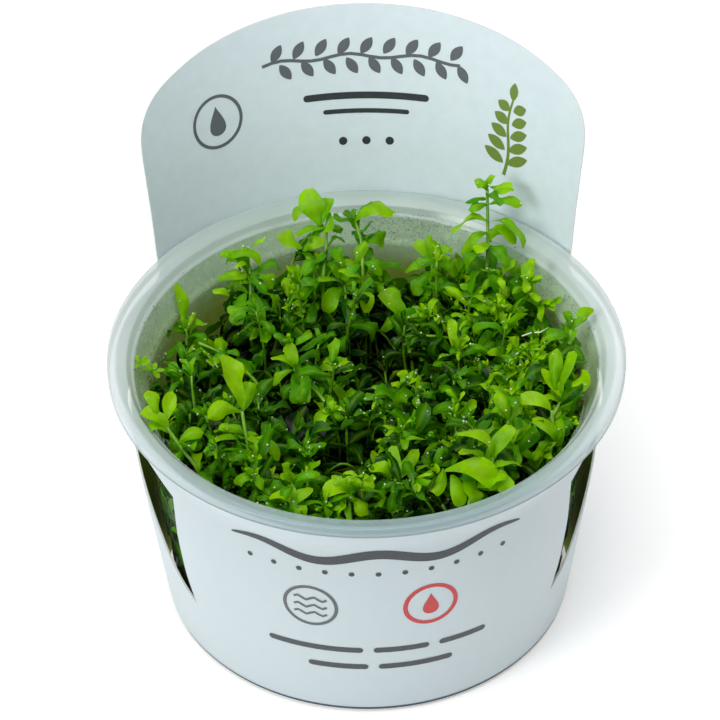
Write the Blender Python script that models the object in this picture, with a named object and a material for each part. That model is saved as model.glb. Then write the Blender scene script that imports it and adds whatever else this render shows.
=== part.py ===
"""Pearlweed (Hemianthus) growing in a clear culture cup with a card sleeve.

The cup is turned, with a sloping flange and a stacking shoulder. A die-cut card sleeve wraps it,
has a leaf-shaped window on each side and rises behind the flange as an arched header.
Nutrient gel fills the bottom of the cup. On it stand the plants as clumps: the dense lower
growth of each clump is one lumpy mass, and the shoots that rise out of it carry pairs of leaves.

Frame: origin at the centre of the cup's flat underside, +Z up, -Y towards the front of the
sleeve. Lengths below are in millimetres and are scaled to metres when a mesh is made.
"""
import math
import random

import bmesh
import bpy
from mathutils import Vector
from mathutils.geometry import delaunay_2d_cdt

MM = 0.001

# Cup
FLANGE_R = 50.0
CUP_HEIGHT = 58.2
SKIRT_HEIGHT = 2.3
WALL = 0.8
FLOOR = 1.0
CUP_SIDES = 36
CUP_OUTSIDE = [(38.4, 0.0), (39.5, 0.8), (40.8, 10.0), (42.2, 21.0), (43.0, 32.0), (43.1, 50.2),
               (43.9, 51.2), (45.6, 54.9), (46.9, 55.4), (48.1, 57.3)]
SHOULDER_H = 50.2
RIM_INSIDE = [(49.2, 58.15), (46.3, 57.2), (45.5, 56.0), (44.9, 55.6)]
SHOULDER_INSIDE = [(43.1, 51.3), (42.3, 50.2)]

# Sleeve
CARD = 0.4
SLEEVE_BOTTOM = 1.0
SLEEVE_TOP = 52.6
SLEEVE_SIDES = 36
FRONT_PROFILE = [(1.0, 40.7), (8.0, 41.5), (15.0, 42.2), (22.0, 42.9), (32.0, 43.5), (47.0, 43.6),
                 (50.0, 44.8), (52.6, 45.8)]
REAR_BASE_R = 40.7
REAR_FLARE = 0.186
REAR_STARTS = 58.0
REAR_ENDS = 116.0
HEADER_TURN = 1.9
HEADER_TOP_H = 98.2
HEADER_EDGE = [(54.0, 58.0), (53.0, 65.5), (52.2, 74.0), (51.6, 80.5), (50.4, 84.8), (48.0, 88.0), (44.3, 90.5),
               (38.6, 92.7), (31.5, 94.8), (23.5, 96.4), (14.5, 97.6), (5.5, 98.15)]
HEADER_ROWS = [57.0, 68.0, 79.0, 90.0]
SLEEVE_ROWS = [11.0, 22.0, 33.0, 46.5]
FOOT_STEP = 3.0
EDGE_CLEAR = 2.2
WINDOW = [(60.5, 41.5), (59.5, 32.0), (57.6, 23.0), (54.6, 15.4), (63.0, 18.6), (72.0, 24.5),
          (84.0, 31.5), (95.0, 37.6), (103.0, 42.2), (97.0, 43.6), (84.0, 43.2), (71.0, 42.8)]

# Gel
GEL_PROFILE = [(38.2, 1.4), (39.4, 9.0)]
GEL_SIDES = 28

# Lower growth
CLUMP_FOOT_H = 9.4
CLUMP_GAP = 0.5
RINGS = [(0.0, 12.8, 1), (12.8, 26.6, 5), (26.6, None, 9)]
CANOPY_H = 41.5
CANOPY_TILT = 0.09
CANOPY_RISE = 2.0
CLUMP_SPAN = 5.6
MIDDLE_SIDES = 9
CLUMP_STEPS_IN = 2
CLUMP_EDGE_DROP = 1.6
CLUMP_ROUGH = 0.9
WALL_GAP = 0.6
WANDER = 1.8
FOOT_MARGIN = 2.0
OUTER_FEET_R = 38.0
# Hollows and rises of the lower growth's top: x, y, rise and spread
SWELLS = [(5.0, 9.0, -6.0, 10.5), (1.0, 22.0, -8.0, 7.5), (-21.0, 12.0, -6.0, 6.0),
          (-12.0, -4.0, -7.0, 6.5), (5.0, -26.0, -6.0, 5.0), (27.0, 22.0, 9.0, 11.0),
          (-17.0, 29.0, 8.0, 9.0), (37.0, 3.0, 5.0, 6.5), (12.0, 32.0, 5.0, 7.0),
          (19.0, -26.0, 4.0, 8.0), (-33.0, -8.0, 3.0, 8.0)]

# Shoots: where each stem leaves the lower growth (x, y), where it ends (x, y, z),
# the heading of its top pair of leaves in degrees, its pairs of leaves, and its leaf length.
SHOOTS = [
    (24.5, 30.0, 25.6, 35.5, 69.0, 20, 4, 7.2),
    (-7.0, 30.0, -9.0, 34.5, 66.5, 35, 4, 7.4),
    (1.5, 28.5, 1.7, 33.5, 64.5, 5, 2, 8.2),
    (-33.0, 16.0, -35.2, 19.0, 57.5, 80, 2, 7.0),
    (-33.0, -12.0, -38.2, -12.0, 57.0, 120, 3, 7.0),
    (-21.0, -15.0, -26.4, -5.5, 58.5, 100, 3, 8.6),
    (-17.5, -3.5, -30.0, 9.5, 53.0, 60, 2, 7.0),
    (-2.3, 20.0, -1.5, 19.0, 56.0, 10, 3, 7.4),
    (-8.0, 3.0, -6.2, 1.5, 53.0, 0, 3, 8.0),
    (8.5, 17.0, 8.5, 17.5, 52.0, 60, 3, 7.0),
    (36.0, 10.0, 39.0, 8.0, 58.0, 30, 2, 6.4),
    (33.0, -6.5, 37.0, -9.5, 57.0, 45, 3, 8.4),
    (20.0, -17.0, 21.5, -22.0, 59.0, 70, 3, 8.6),
    (15.5, -30.5, 17.0, -33.0, 57.0, 5, 3, 9.0),
    (30.5, -19.5, 33.0, -21.5, 56.5, 140, 3, 8.0),
    (-2.5, -31.5, -2.5, -34.5, 56.0, 0, 3, 7.2),
    (-13.0, -32.0, -14.0, -35.5, 53.5, 30, 3, 6.6),
    (10.5, -1.5, 9.5, -3.5, 51.0, 20, 2, 6.4),
    (5.0, -15.0, 5.8, -17.5, 52.5, 50, 3, 7.4),
    (-6.0, -9.0, -7.0, -10.5, 51.5, 75, 3, 7.2),
    (-20.0, 26.0, -22.0, 28.0, 57.5, 130, 3, 7.6),
    (-19.0, 14.5, -21.0, 16.5, 55.0, 15, 3, 7.6),
    (-11.0, 19.0, -12.5, 21.5, 57.5, 85, 3, 7.8),
    (32.0, 19.5, 33.5, 21.0, 56.0, 110, 3, 7.0),
    (26.0, 10.0, 28.0, 11.0, 53.5, 25, 3, 7.6),
    (15.0, 26.0, 15.5, 28.5, 56.0, 65, 3, 7.8),
    (-26.5, -22.0, -29.5, -23.5, 55.5, 150, 3, 7.2),
    (-20.5, -28.5, -22.5, -30.5, 54.0, 40, 2, 7.0),
    (17.5, -7.5, 17.0, -10.5, 53.0, 95, 3, 7.4),
    (26.5, -8.0, 27.5, -10.5, 55.0, 120, 3, 7.6),
    (-12.5, -19.5, -12.5, -21.0, 51.0, 10, 3, 7.0),
    (6.5, -29.0, 7.5, -33.0, 54.5, 75, 2, 7.0),
    (18.5, 8.0, 18.5, 7.5, 51.0, 140, 3, 7.0),
    (-12.0, 8.5, -14.0, 7.5, 53.5, 45, 3, 7.0),
    (-33.5, 2.5, -36.0, 2.0, 51.0, 100, 2, 6.6),
]
STEM_R = 0.55
STEM_SINK = 9.0
STEM_SIDES = 3
STEM_PIECES = 3
STEM_STIFFNESS = 0.62
PAIR_SPACING = 5.6
LOWEST_PAIR = 0.4
LEAF_WIDTH_RATIO = 0.48
LEAF_SECTIONS = [(0.34, 0.92), (0.76, 0.86)]
LEAF_KEEL = 0.6
LEAF_RISE_TOP = 58.0
LEAF_RISE_STEP = 24.0
LEAF_ROOT = 0.35
LEAF_CLEAR = 2.1
WALL_CLEAR = 0.7
CANOPY_CLEAR = 2.4
CARD_CLEAR_R = 49.6
# Room between the shoots that stays free: the lowest and the highest corner of each box
FREE_ROOM = [((-3.0, 4.0, 46.0), (12.0, 11.0, 62.0)), ((-7.0, -25.0, 48.0), (1.0, -16.0, 62.0)),
             ((14.0, -3.0, 46.0), (28.0, 2.0, 62.0))]
ROOM_MARGIN = 1.0
TURNS_TO_TRY = [0, 25, -25, 50, -50, 75, -75]
SIZES_TO_TRY = [1.0, 0.8, 0.62]

# Colours
CLEAR_PLASTIC = (0.78, 0.84, 0.83)
CARD_WHITE = (0.86, 0.89, 0.90)
GEL_COLOUR = (0.80, 0.82, 0.70)
LEAF_GREEN = (0.24, 0.46, 0.03)


def step(low, high, value):
    """Smooth 0 to 1 as value goes from low to high."""
    t = min(max((value - low) / (high - low), 0.0), 1.0)
    return t * t * (3.0 - 2.0 * t)


def along(points, value):
    """Straight-line reading of a list of (value, result) pairs."""
    if value <= points[0][0]:
        return points[0][1]
    for (v0, r0), (v1, r1) in zip(points, points[1:]):
        if value <= v1:
            return r0 + (r1 - r0) * (value - v0) / (v1 - v0)
    return points[-1][1]


def material(name, colour, roughness, alpha=1.0):
    """A Principled material in the part's own colour."""
    made = bpy.data.materials.new(name)
    made.use_nodes = True
    shader = made.node_tree.nodes["Principled BSDF"]
    shader.inputs["Base Color"].default_value = (*colour, 1.0)
    shader.inputs["Roughness"].default_value = roughness
    shader.inputs["Metallic"].default_value = 0.0
    shader.inputs["Alpha"].default_value = alpha
    return made


def add_object(name, verts, faces, finish):
    """One mesh object from points in millimetres."""
    mesh = bpy.data.meshes.new(name)
    mesh.from_pydata([tuple(c * MM for c in v) for v in verts], [], faces)
    mesh.validate()
    mesh.materials.append(finish)
    obj = bpy.data.objects.new(name, mesh)
    bpy.context.scene.collection.objects.link(obj)
    return obj


def turned(name, profile, sides, finish):
    """A solid turned about the Z axis. The profile runs up the outside from the axis back to it."""
    verts = [(0.0, 0.0, profile[0][1])]
    for r, h in profile:
        for k in range(sides):
            a = 2.0 * math.pi * k / sides
            verts.append((r * math.cos(a), r * math.sin(a), h))
    verts.append((0.0, 0.0, profile[-1][1]))
    top = len(verts) - 1
    faces = []
    for k in range(sides):
        n = (k + 1) % sides
        faces.append((0, 1 + n, 1 + k))
        for j in range(len(profile) - 1):
            low = 1 + j * sides
            high = low + sides
            faces.append((low + k, low + n, high + n, high + k))
        last = 1 + (len(profile) - 1) * sides
        faces.append((last + k, last + n, top))
    obj = add_object(name, verts, faces, finish)
    obj.data.shade_smooth()
    obj.data.set_sharp_from_angle(angle=math.radians(35.0))
    return obj


def inner_radius(h):
    """The cup's inside radius at a height, up to its rim."""
    lower = [(z, r - WALL) for r, z in CUP_OUTSIDE if z < SHOULDER_H]
    upper = [(z, r) for r, z in reversed(RIM_INSIDE + SHOULDER_INSIDE)]
    return along(lower + upper + [(CUP_HEIGHT, FLANGE_R)], h)


def make_cup():
    """Turned cup: floor, bellied wall, stacking shoulder, sealing step, flat flange with a short skirt."""
    skirt_inner = FLANGE_R - WALL
    under = CUP_OUTSIDE[-1][1]
    outside = CUP_OUTSIDE + [(skirt_inner, under), (skirt_inner, CUP_HEIGHT - SKIRT_HEIGHT),
                             (FLANGE_R, CUP_HEIGHT - SKIRT_HEIGHT), (FLANGE_R, CUP_HEIGHT)]
    inside = [(r - WALL, h) for r, h in reversed(CUP_OUTSIDE) if FLOOR < h < SHOULDER_H]
    foot = [(CUP_OUTSIDE[1][0] - WALL + 0.1, FLOOR)]
    finish = material("clear_plastic", CLEAR_PLASTIC, 0.15, 0.45)
    return turned("cup", outside + RIM_INSIDE + SHOULDER_INSIDE + inside + foot, CUP_SIDES, finish)


def sleeve_radius(azimuth, h):
    """Middle of the card: close to the cup in front, flaring past the flange behind."""
    front = along(FRONT_PROFILE, h)
    rear = REAR_BASE_R + REAR_FLARE * (h - SLEEVE_BOTTOM)
    share = step(REAR_STARTS, REAR_ENDS, abs(azimuth))
    return front + (rear - front) * share


def off_middle(azimuth):
    """How many degrees an azimuth lies from the header's middle, which is turned from the seam."""
    return abs((azimuth + HEADER_TURN) % 360.0 - 180.0)


def header_edge(azimuth):
    """Height of the header's arched edge at an azimuth."""
    return along([(0.0, HEADER_TOP_H)] + list(reversed(HEADER_EDGE)), off_middle(azimuth))


def sleeve_outline():
    """The flat card's outer edge as (azimuth, height), azimuth 0 in front and 180 behind."""
    seam = 180.0
    half = HEADER_EDGE[0][0]
    right_foot = seam - HEADER_TURN - half
    left_foot = half - seam - HEADER_TURN
    columns = [-seam + 360.0 * k / SLEEVE_SIDES for k in range(SLEEVE_SIDES + 1)]
    bottom = [(a, SLEEVE_BOTTOM) for a in columns]
    top = [(a, SLEEVE_TOP) for a in reversed(columns) if left_foot + FOOT_STEP < a < right_foot - FOOT_STEP]
    seam_up = [(seam, HEADER_ROWS[2]), (seam, header_edge(seam))]
    right = [(seam - HEADER_TURN - a, h) for a, h in reversed(HEADER_EDGE)]
    left = [(a - seam - HEADER_TURN, h) for a, h in HEADER_EDGE if a > 2.0 * HEADER_TURN]
    seam_down = [(-a, h) for a, h in reversed(seam_up)]
    return (bottom + seam_up + right + [(right_foot, SLEEVE_TOP)] + top
            + [(left_foot, SLEEVE_TOP)] + left + seam_down)


def make_sleeve():
    """The die-cut card, flat pattern first, then wrapped round the cup and given its thickness."""
    outline = sleeve_outline()
    windows = [[(sign * a, h) for a, h in WINDOW] for sign in (1.0, -1.0)]
    points = []
    edges = []
    for loop in [outline] + windows:
        start = len(points)
        points += loop
        edges += [(start + k, start + (k + 1) % len(loop)) for k in range(len(loop))]
    for k in range(SLEEVE_SIDES + 1):
        a = -180.0 + 360.0 * k / SLEEVE_SIDES
        for h in SLEEVE_ROWS:
            if not any(near_loop((a, h), loop) for loop in windows):
                points.append((a, h))
        for h in HEADER_ROWS:
            if off_middle(a) < HEADER_EDGE[0][0] - FOOT_STEP and h < header_edge(a) - EDGE_CLEAR:
                points.append((a, h))
    flat = [Vector(p) for p in points]
    out_points, _, out_faces, *_ = delaunay_2d_cdt(flat, edges, [], 0, 0.001)
    faces = []
    for face in out_faces:
        middle = sum((out_points[k] for k in face), Vector((0.0, 0.0))) / len(face)
        if inside_loop(middle, outline) and not any(inside_loop(middle, w) for w in windows):
            faces.append(face)
    verts = []
    for a, h in out_points:
        r = sleeve_radius(a, h)
        verts.append((r * math.sin(math.radians(a)), -r * math.cos(math.radians(a)), h))
    obj = add_object("label_sleeve", verts, faces, material("white_card", CARD_WHITE, 0.4))
    work = bmesh.new()
    work.from_mesh(obj.data)
    bmesh.ops.remove_doubles(work, verts=work.verts, dist=0.02 * MM)
    loose = [v for v in work.verts if not v.link_faces]
    bmesh.ops.delete(work, geom=loose, context="VERTS")
    bmesh.ops.recalc_face_normals(work, faces=work.faces)
    work.to_mesh(obj.data)
    work.free()
    obj.data.shade_smooth()
    obj.data.set_sharp_from_angle(angle=math.radians(50.0))
    thick = obj.modifiers.new("card", "SOLIDIFY")
    thick.thickness = CARD * MM
    thick.offset = 0.0
    thick.use_even_offset = True
    return obj


def inside_loop(point, loop):
    """Whether a point lies inside a closed loop of points."""
    inside = False
    for (x0, y0), (x1, y1) in zip(loop, loop[1:] + loop[:1]):
        if (y0 > point[1]) != (y1 > point[1]):
            if point[0] < x0 + (x1 - x0) * (point[1] - y0) / (y1 - y0):
                inside = not inside
    return inside


def near_loop(point, loop):
    """Whether a point lies inside a loop or too near its edge to be a useful grid point."""
    for (x0, y0), (x1, y1) in zip(loop, loop[1:] + loop[:1]):
        start = Vector((x0, y0))
        run = Vector((x1, y1)) - start
        t = min(max((Vector(point) - start).dot(run) / run.length_squared, 0.0), 1.0)
        if (start + run * t - Vector(point)).length < EDGE_CLEAR:
            return True
    return inside_loop(point, loop)


def make_gel():
    """The nutrient gel, a low disc that fills the foot of the cup."""
    finish = material("culture_gel", GEL_COLOUR, 0.2, 0.6)
    return turned("culture_gel", GEL_PROFILE, GEL_SIDES, finish)


def canopy(x, y):
    """Height of the lower growth's top: lumpy, with hollows and rises."""
    r = math.hypot(x, y)
    lumps = (1.5 * math.sin(0.42 * x + 1.3) * math.cos(0.37 * y - 0.6)
             + 1.1 * math.sin(0.71 * y + 0.31 * x + 2.0)
             + 0.8 * math.cos(0.93 * x - 0.58 * y))
    swell = 0.0
    for at_x, at_y, rise, spread in SWELLS:
        swell += rise * math.exp(-((x - at_x) ** 2 + (y - at_y) ** 2) / spread ** 2)
    return CANOPY_H + CANOPY_RISE * (r / OUTER_FEET_R) ** 2 - CANOPY_TILT * y + lumps + swell


def wander(x, y):
    """Bends the clumps' borders so that they don't run in straight lines."""
    pull = max(0.0, 1.0 - math.hypot(x, y) / 40.0)
    return (x + WANDER * pull * math.sin(0.33 * y + 0.7), y + WANDER * pull * math.sin(0.29 * x + 2.1))


def clump_cells():
    """Each clump's ring and sector as (inner radius, outer radius, start angle, end angle)."""
    cells = []
    for ring, (low, high, count) in enumerate(RINGS):
        for k in range(count):
            start = 2.0 * math.pi * (k + 0.5 * ring) / count
            cells.append((low, high, start, start + 2.0 * math.pi / count))
    return cells


def cell_mesh(cell):
    """Points and faces of one clump's lumpy mass: flat below, uneven above, upright at its sides."""
    low, high, start, end = cell
    half = CLUMP_GAP / 2.0
    whole = low == 0.0
    foot_r = high - half if high else inner_radius(CLUMP_FOOT_H) - WALL_GAP
    top_r = high - half if high else inner_radius(CANOPY_H) - WALL_GAP
    inner = 0.0 if whole else low + half
    around = max(3, round((end - start) * (inner + top_r) / 2.0 / CLUMP_SPAN))
    if whole:
        around = MIDDLE_SIDES
    verts = []
    faces = []
    index = {}

    def angle(k, r):
        if whole:
            return 2.0 * math.pi * k / around
        trim = half / r
        return start + trim + (end - start - 2.0 * trim) * k / around

    def place(top, i, k):
        reach = top_r if top else foot_r
        r = inner + (reach - inner) * i / CLUMP_STEPS_IN
        a = angle(k, r)
        x, y = wander(r * math.cos(a), r * math.sin(a))
        if not top:
            return (x, y, CLUMP_FOOT_H)
        edge = i == CLUMP_STEPS_IN or (not whole and (i == 0 or k in (0, around)))
        drop = CLUMP_EDGE_DROP if edge else 0.0
        return (x, y, canopy(x, y) - drop + CLUMP_ROUGH * math.sin(5.1 * k + 2.7 * i))

    def at(top, i, k):
        if whole:
            k = 0 if i == 0 else k % around
        key = (top, i, k)
        if key not in index:
            index[key] = len(verts)
            verts.append(place(top, i, k))
        return index[key]

    def side(near, far):
        faces.append((at(False, *near), at(False, *far), at(True, *far), at(True, *near)))

    for i in range(CLUMP_STEPS_IN):
        for k in range(around):
            for top in (False, True):
                ring = [at(top, i, k), at(top, i + 1, k), at(top, i + 1, k + 1), at(top, i, k + 1)]
                ring = list(dict.fromkeys(ring))
                faces.append(tuple(ring if top else reversed(ring)))
    for k in range(around):
        side((CLUMP_STEPS_IN, k), (CLUMP_STEPS_IN, k + 1))
        if not whole:
            side((0, k + 1), (0, k))
    if not whole:
        for i in range(CLUMP_STEPS_IN):
            side((i, 0), (i + 1, 0))
            side((i + 1, around), (i, around))
    return verts, faces


def settle(x, y, cells):
    """Which clump a shoot grows from, and its foot drawn in from that clump's borders."""
    bent = wander(x, y)
    flat_x = 2.0 * x - bent[0]
    flat_y = 2.0 * y - bent[1]
    r = math.hypot(flat_x, flat_y)
    a = math.atan2(flat_y, flat_x)
    for number, (low, high, start, end) in enumerate(cells):
        turn = (a - start) % (2.0 * math.pi)
        if low <= r < (high or FLANGE_R) and turn < end - start:
            if low > 0.0:
                r = max(r, low + FOOT_MARGIN)
                trim = FOOT_MARGIN / r
                turn = min(max(turn, trim), end - start - trim)
            r = min(r, (high or OUTER_FEET_R + FOOT_MARGIN) - FOOT_MARGIN)
            foot = wander(r * math.cos(start + turn), r * math.sin(start + turn))
            return number, foot[0], foot[1]
    return 0, x, y


def stem_path(shoot, bx, by):
    """The stem's curve: upright where it starts, leaning towards its tip."""
    tx, ty, tz = shoot[2:5]
    foot = canopy(bx, by) - STEM_SINK
    start = Vector((bx, by, foot))
    bend = Vector((bx, by, foot + STEM_STIFFNESS * (tz - foot)))
    tip = Vector((tx, ty, tz))

    def at(t):
        return start * (1 - t) ** 2 + bend * 2 * t * (1 - t) + tip * t ** 2

    return at, (tip - start).length


def leaf_frame(direction):
    """Side and upper normal of a leaf that points in a direction."""
    side = direction.cross(Vector((0.0, 0.0, 1.0))).normalized()
    return side, side.cross(direction).normalized()


def leaf_centre(base, direction, normal, length, curl, t):
    """Midrib of a leaf: out along its direction, its tip bent back."""
    return base + direction * (length * t) - normal * (curl * length * t * t)


def leaf_samples(leaf):
    """Points spread over a leaf, to keep it clear of what is already there."""
    base, direction, length, curl = leaf
    side, normal = leaf_frame(direction)
    half = 0.5 * LEAF_WIDTH_RATIO * length
    found = []
    for t in (0.3, 0.5, 0.7, 0.88, 1.0):
        middle = leaf_centre(base, direction, normal, length, curl, t)
        spread = half * (0.0 if t == 1.0 else 0.95)
        found += [middle, middle + side * spread, middle - side * spread]
    return found


def fits(samples, stem_cell, others):
    """Whether a leaf stays in the cup, above the lower growth, out of the free room and off other shoots."""
    for p in samples:
        r = math.hypot(p.x, p.y)
        if p.z < CUP_HEIGHT + WALL_CLEAR and r > inner_radius(p.z - WALL_CLEAR) - WALL_CLEAR:
            return False
        if r > CARD_CLEAR_R or p.z < canopy(p.x, p.y) + CANOPY_CLEAR:
            return False
        for low, high in FREE_ROOM:
            if all(low[k] - ROOM_MARGIN < p[k] < high[k] + ROOM_MARGIN for k in range(3)):
                return False
        for cell, q in others:
            if cell != stem_cell and (p - q).length < LEAF_CLEAR:
                return False
    return True


def plan_shoots():
    """Every shoot's clump, stem and leaves. Leaves that would touch a neighbour turn or shrink."""
    cells = clump_cells()
    rng = random.Random(11)
    taken = []
    plans = []
    for shoot in SHOOTS:
        cell, foot_x, foot_y = settle(shoot[0], shoot[1], cells)
        at, reach = stem_path(shoot, foot_x, foot_y)
        taken += [(cell, at(k / 12.0)) for k in range(13)]
        plans.append({"cell": cell, "path": at, "reach": reach, "shoot": shoot, "leaves": []})
    for plan in plans:
        heading, pairs, length = plan["shoot"][5:]
        for pair in range(pairs):
            t = 1.0 - pair * PAIR_SPACING / plan["reach"] - (0.02 if pair == 0 else 0.0)
            if t < LOWEST_PAIR:
                break
            base = plan["path"](t)
            size = length * (0.72 if pair == 0 else 1.0)
            rise = LEAF_RISE_TOP - LEAF_RISE_STEP * pair
            for half in (0, 180):
                wanted = heading + 90 * pair + half + rng.uniform(-12, 12)
                curl = rng.uniform(0.12, 0.34) + 0.05 * pair
                place_leaf(plan, base, wanted, rise + rng.uniform(-8, 8), size, curl, taken)
    return plans


def place_leaf(plan, base, heading, rise, size, curl, taken):
    """Puts a leaf on a stem at the first turn and size that leave it free."""
    for scale in SIZES_TO_TRY:
        for turn in TURNS_TO_TRY:
            a = math.radians(heading + turn)
            e = math.radians(max(rise, 6.0))
            direction = Vector((math.cos(e) * math.cos(a), math.cos(e) * math.sin(a), math.sin(e)))
            leaf = (base, direction, size * scale, curl)
            samples = leaf_samples(leaf)
            if fits(samples, plan["cell"], taken):
                plan["leaves"].append(leaf)
                taken += [(plan["cell"], p) for p in samples]
                return


def add_tube(verts, faces, points, radius):
    """A slim stem along a list of points, closed at both ends."""
    first = len(verts)
    for p in points:
        for k in range(STEM_SIDES):
            a = 2.0 * math.pi * (k + 0.25) / STEM_SIDES
            verts.append((p.x + radius * math.cos(a), p.y + radius * math.sin(a), p.z))
    count = len(points)
    for j in range(count - 1):
        for k in range(STEM_SIDES):
            n = (k + 1) % STEM_SIDES
            low = first + STEM_SIDES * j
            high = low + STEM_SIDES
            faces.append((low + k, low + n, high + n))
            faces.append((low + k, high + n, high + k))
    top = first + STEM_SIDES * (count - 1)
    faces.append(tuple(first + k for k in reversed(range(STEM_SIDES))))
    faces.append(tuple(top + k for k in range(STEM_SIDES)))


def add_leaf(verts, faces, leaf):
    """A thin leaf, flat above and keeled below, as one closed shell of triangles."""
    base, direction, length, curl = leaf
    side, normal = leaf_frame(direction)
    first = len(verts)
    half = 0.5 * LEAF_WIDTH_RATIO * length
    verts.append(tuple(base - direction * LEAF_ROOT))
    for t, share in LEAF_SECTIONS:
        middle = leaf_centre(base, direction, normal, length, curl, t)
        verts.append(tuple(middle + side * (half * share)))
        verts.append(tuple(middle - side * (half * share)))
        verts.append(tuple(middle - normal * LEAF_KEEL))
    verts.append(tuple(leaf_centre(base, direction, normal, length, curl, 1.0)))
    tip = len(verts) - 1
    for k in range(3):
        n = (k + 1) % 3
        faces.append((first, first + 1 + k, first + 1 + n))
        for j in range(len(LEAF_SECTIONS) - 1):
            low = first + 1 + 3 * j
            faces.append((low + k, low + 3 + k, low + 3 + n))
            faces.append((low + k, low + 3 + n, low + n))
        last = first + 1 + 3 * (len(LEAF_SECTIONS) - 1)
        faces.append((last + k, tip, last + n))


def make_clumps():
    """The plants: for each clump its lower growth, with its stems and leaves joined to it."""
    finish = material("pearlweed", LEAF_GREEN, 0.35)
    cells = clump_cells()
    plans = plan_shoots()
    for number, cell in enumerate(cells):
        verts, faces = cell_mesh(cell)
        clump = add_object(f"clump_{number + 1:02d}", verts, faces, finish)
        triangulate(clump)
        own = [p for p in plans if p["cell"] == number]
        if not own:
            continue
        verts = []
        faces = []
        for plan in own:
            stem = [plan["path"](k / STEM_PIECES) for k in range(STEM_PIECES + 1)]
            add_tube(verts, faces, stem, STEM_R)
            for leaf in plan["leaves"]:
                add_leaf(verts, faces, leaf)
        growth = add_object(f"clump_{number + 1:02d}_shoots", verts, faces, finish)
        growth.hide_render = True
        growth.display_type = "WIRE"
        join = clump.modifiers.new("shoots", "BOOLEAN")
        join.operation = "UNION"
        join.solver = "EXACT"
        join.use_self = True
        join.object = growth


def triangulate(obj):
    """Splits an object's faces into triangles, all facing out."""
    work = bmesh.new()
    work.from_mesh(obj.data)
    bmesh.ops.triangulate(work, faces=work.faces)
    bmesh.ops.recalc_face_normals(work, faces=work.faces)
    work.to_mesh(obj.data)
    work.free()


def main():
    for obj in list(bpy.data.objects):
        bpy.data.objects.remove(obj)
    make_cup()
    make_sleeve()
    make_gel()
    make_clumps()


main()
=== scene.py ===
"""Looks of a pearlweed culture cup: clear cup, printed card sleeve, gel and hundreds of leafy shoots.

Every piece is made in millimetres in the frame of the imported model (origin under the cup, +Z up,
-Y towards the front of the sleeve) and stands in the place of the solid that it replaces.
"""
import math
import random

import bpy
import bmesh
import numpy as np
from mathutils import Euler, Matrix, Vector
from mathutils.geometry import delaunay_2d_cdt


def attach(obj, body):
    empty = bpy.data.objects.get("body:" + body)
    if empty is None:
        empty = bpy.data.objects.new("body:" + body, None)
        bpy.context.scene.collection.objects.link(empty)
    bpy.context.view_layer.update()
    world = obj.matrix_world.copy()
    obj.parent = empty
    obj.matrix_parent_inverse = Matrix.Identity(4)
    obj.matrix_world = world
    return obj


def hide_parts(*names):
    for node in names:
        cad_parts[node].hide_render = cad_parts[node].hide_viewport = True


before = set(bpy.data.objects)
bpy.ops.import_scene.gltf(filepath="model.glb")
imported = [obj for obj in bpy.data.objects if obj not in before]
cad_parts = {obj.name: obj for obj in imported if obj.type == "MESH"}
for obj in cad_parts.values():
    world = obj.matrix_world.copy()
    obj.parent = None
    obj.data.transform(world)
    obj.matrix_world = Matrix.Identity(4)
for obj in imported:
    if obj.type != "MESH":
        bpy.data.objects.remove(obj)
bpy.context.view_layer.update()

MM = 0.001

# Cup, as in the solid
FLANGE_R = 50.0
CUP_HEIGHT = 58.2
SKIRT_HEIGHT = 2.3
WALL = 0.8
FLOOR = 1.0
CUP_OUTSIDE = [(38.4, 0.0), (39.5, 0.8), (40.8, 10.0), (42.2, 21.0), (43.0, 32.0), (43.1, 50.2),
               (43.9, 51.2), (45.6, 54.9), (46.9, 55.4), (48.1, 57.3)]
SHOULDER_H = 50.2
RIM_INSIDE = [(49.2, 58.15), (46.3, 57.2), (45.5, 56.0), (44.9, 55.6)]
SHOULDER_INSIDE = [(43.1, 51.3), (42.3, 50.2)]
CUP_SIDES = 160
EDGE_ROUNDING = 0.32
FLANGE_FROM_H = 55.4
# Faces outside this radius and below this height over the skirt's foot are painted darker: painted shade
# along the skirt's lower edge
SHADE_LINE_R = 49.55
SHADE_LINE = 0.65

# Sleeve, as in the solid
CARD = 0.4
SLEEVE_BOTTOM = 1.0
SLEEVE_TOP = 52.6
FRONT_PROFILE = [(1.0, 40.7), (8.0, 41.5), (15.0, 42.2), (22.0, 42.9), (32.0, 43.5), (47.0, 43.6),
                 (50.0, 44.8), (52.6, 45.8)]
REAR_BASE_R = 40.7
REAR_FLARE = 0.186
REAR_STARTS = 58.0
REAR_ENDS = 116.0
HEADER_TURN = 1.9
HEADER_TOP_H = 98.2
HEADER_EDGE = [(54.0, 58.0), (53.0, 65.5), (52.2, 74.0), (51.6, 80.5), (50.4, 84.8), (48.0, 88.0),
               (44.3, 90.5), (38.6, 92.7), (31.5, 94.8), (23.5, 96.4), (14.5, 97.6), (5.5, 98.15)]
WINDOW = [(60.5, 41.5), (59.5, 32.0), (57.6, 23.0), (54.6, 15.4), (63.0, 18.6), (72.0, 24.5),
          (84.0, 31.5), (95.0, 37.6), (103.0, 42.2), (97.0, 43.6), (84.0, 43.2), (71.0, 42.8)]
WINDOW_CORNERS = (0, 3, 8)
SLEEVE_COLUMNS = 144
SLEEVE_ROW = 2.6
KINK_ROWS = (47.0, 48.5, 50.0, 51.3)

# Print
PRINT_FRONT_R = 43.6
PRINT_HEADER_R = 56.0
INK_LIFT = 0.05

# Gel, as in the solid
GEL_BOTTOM_H = 1.4
GEL_TOP_H = 9.0

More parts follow.
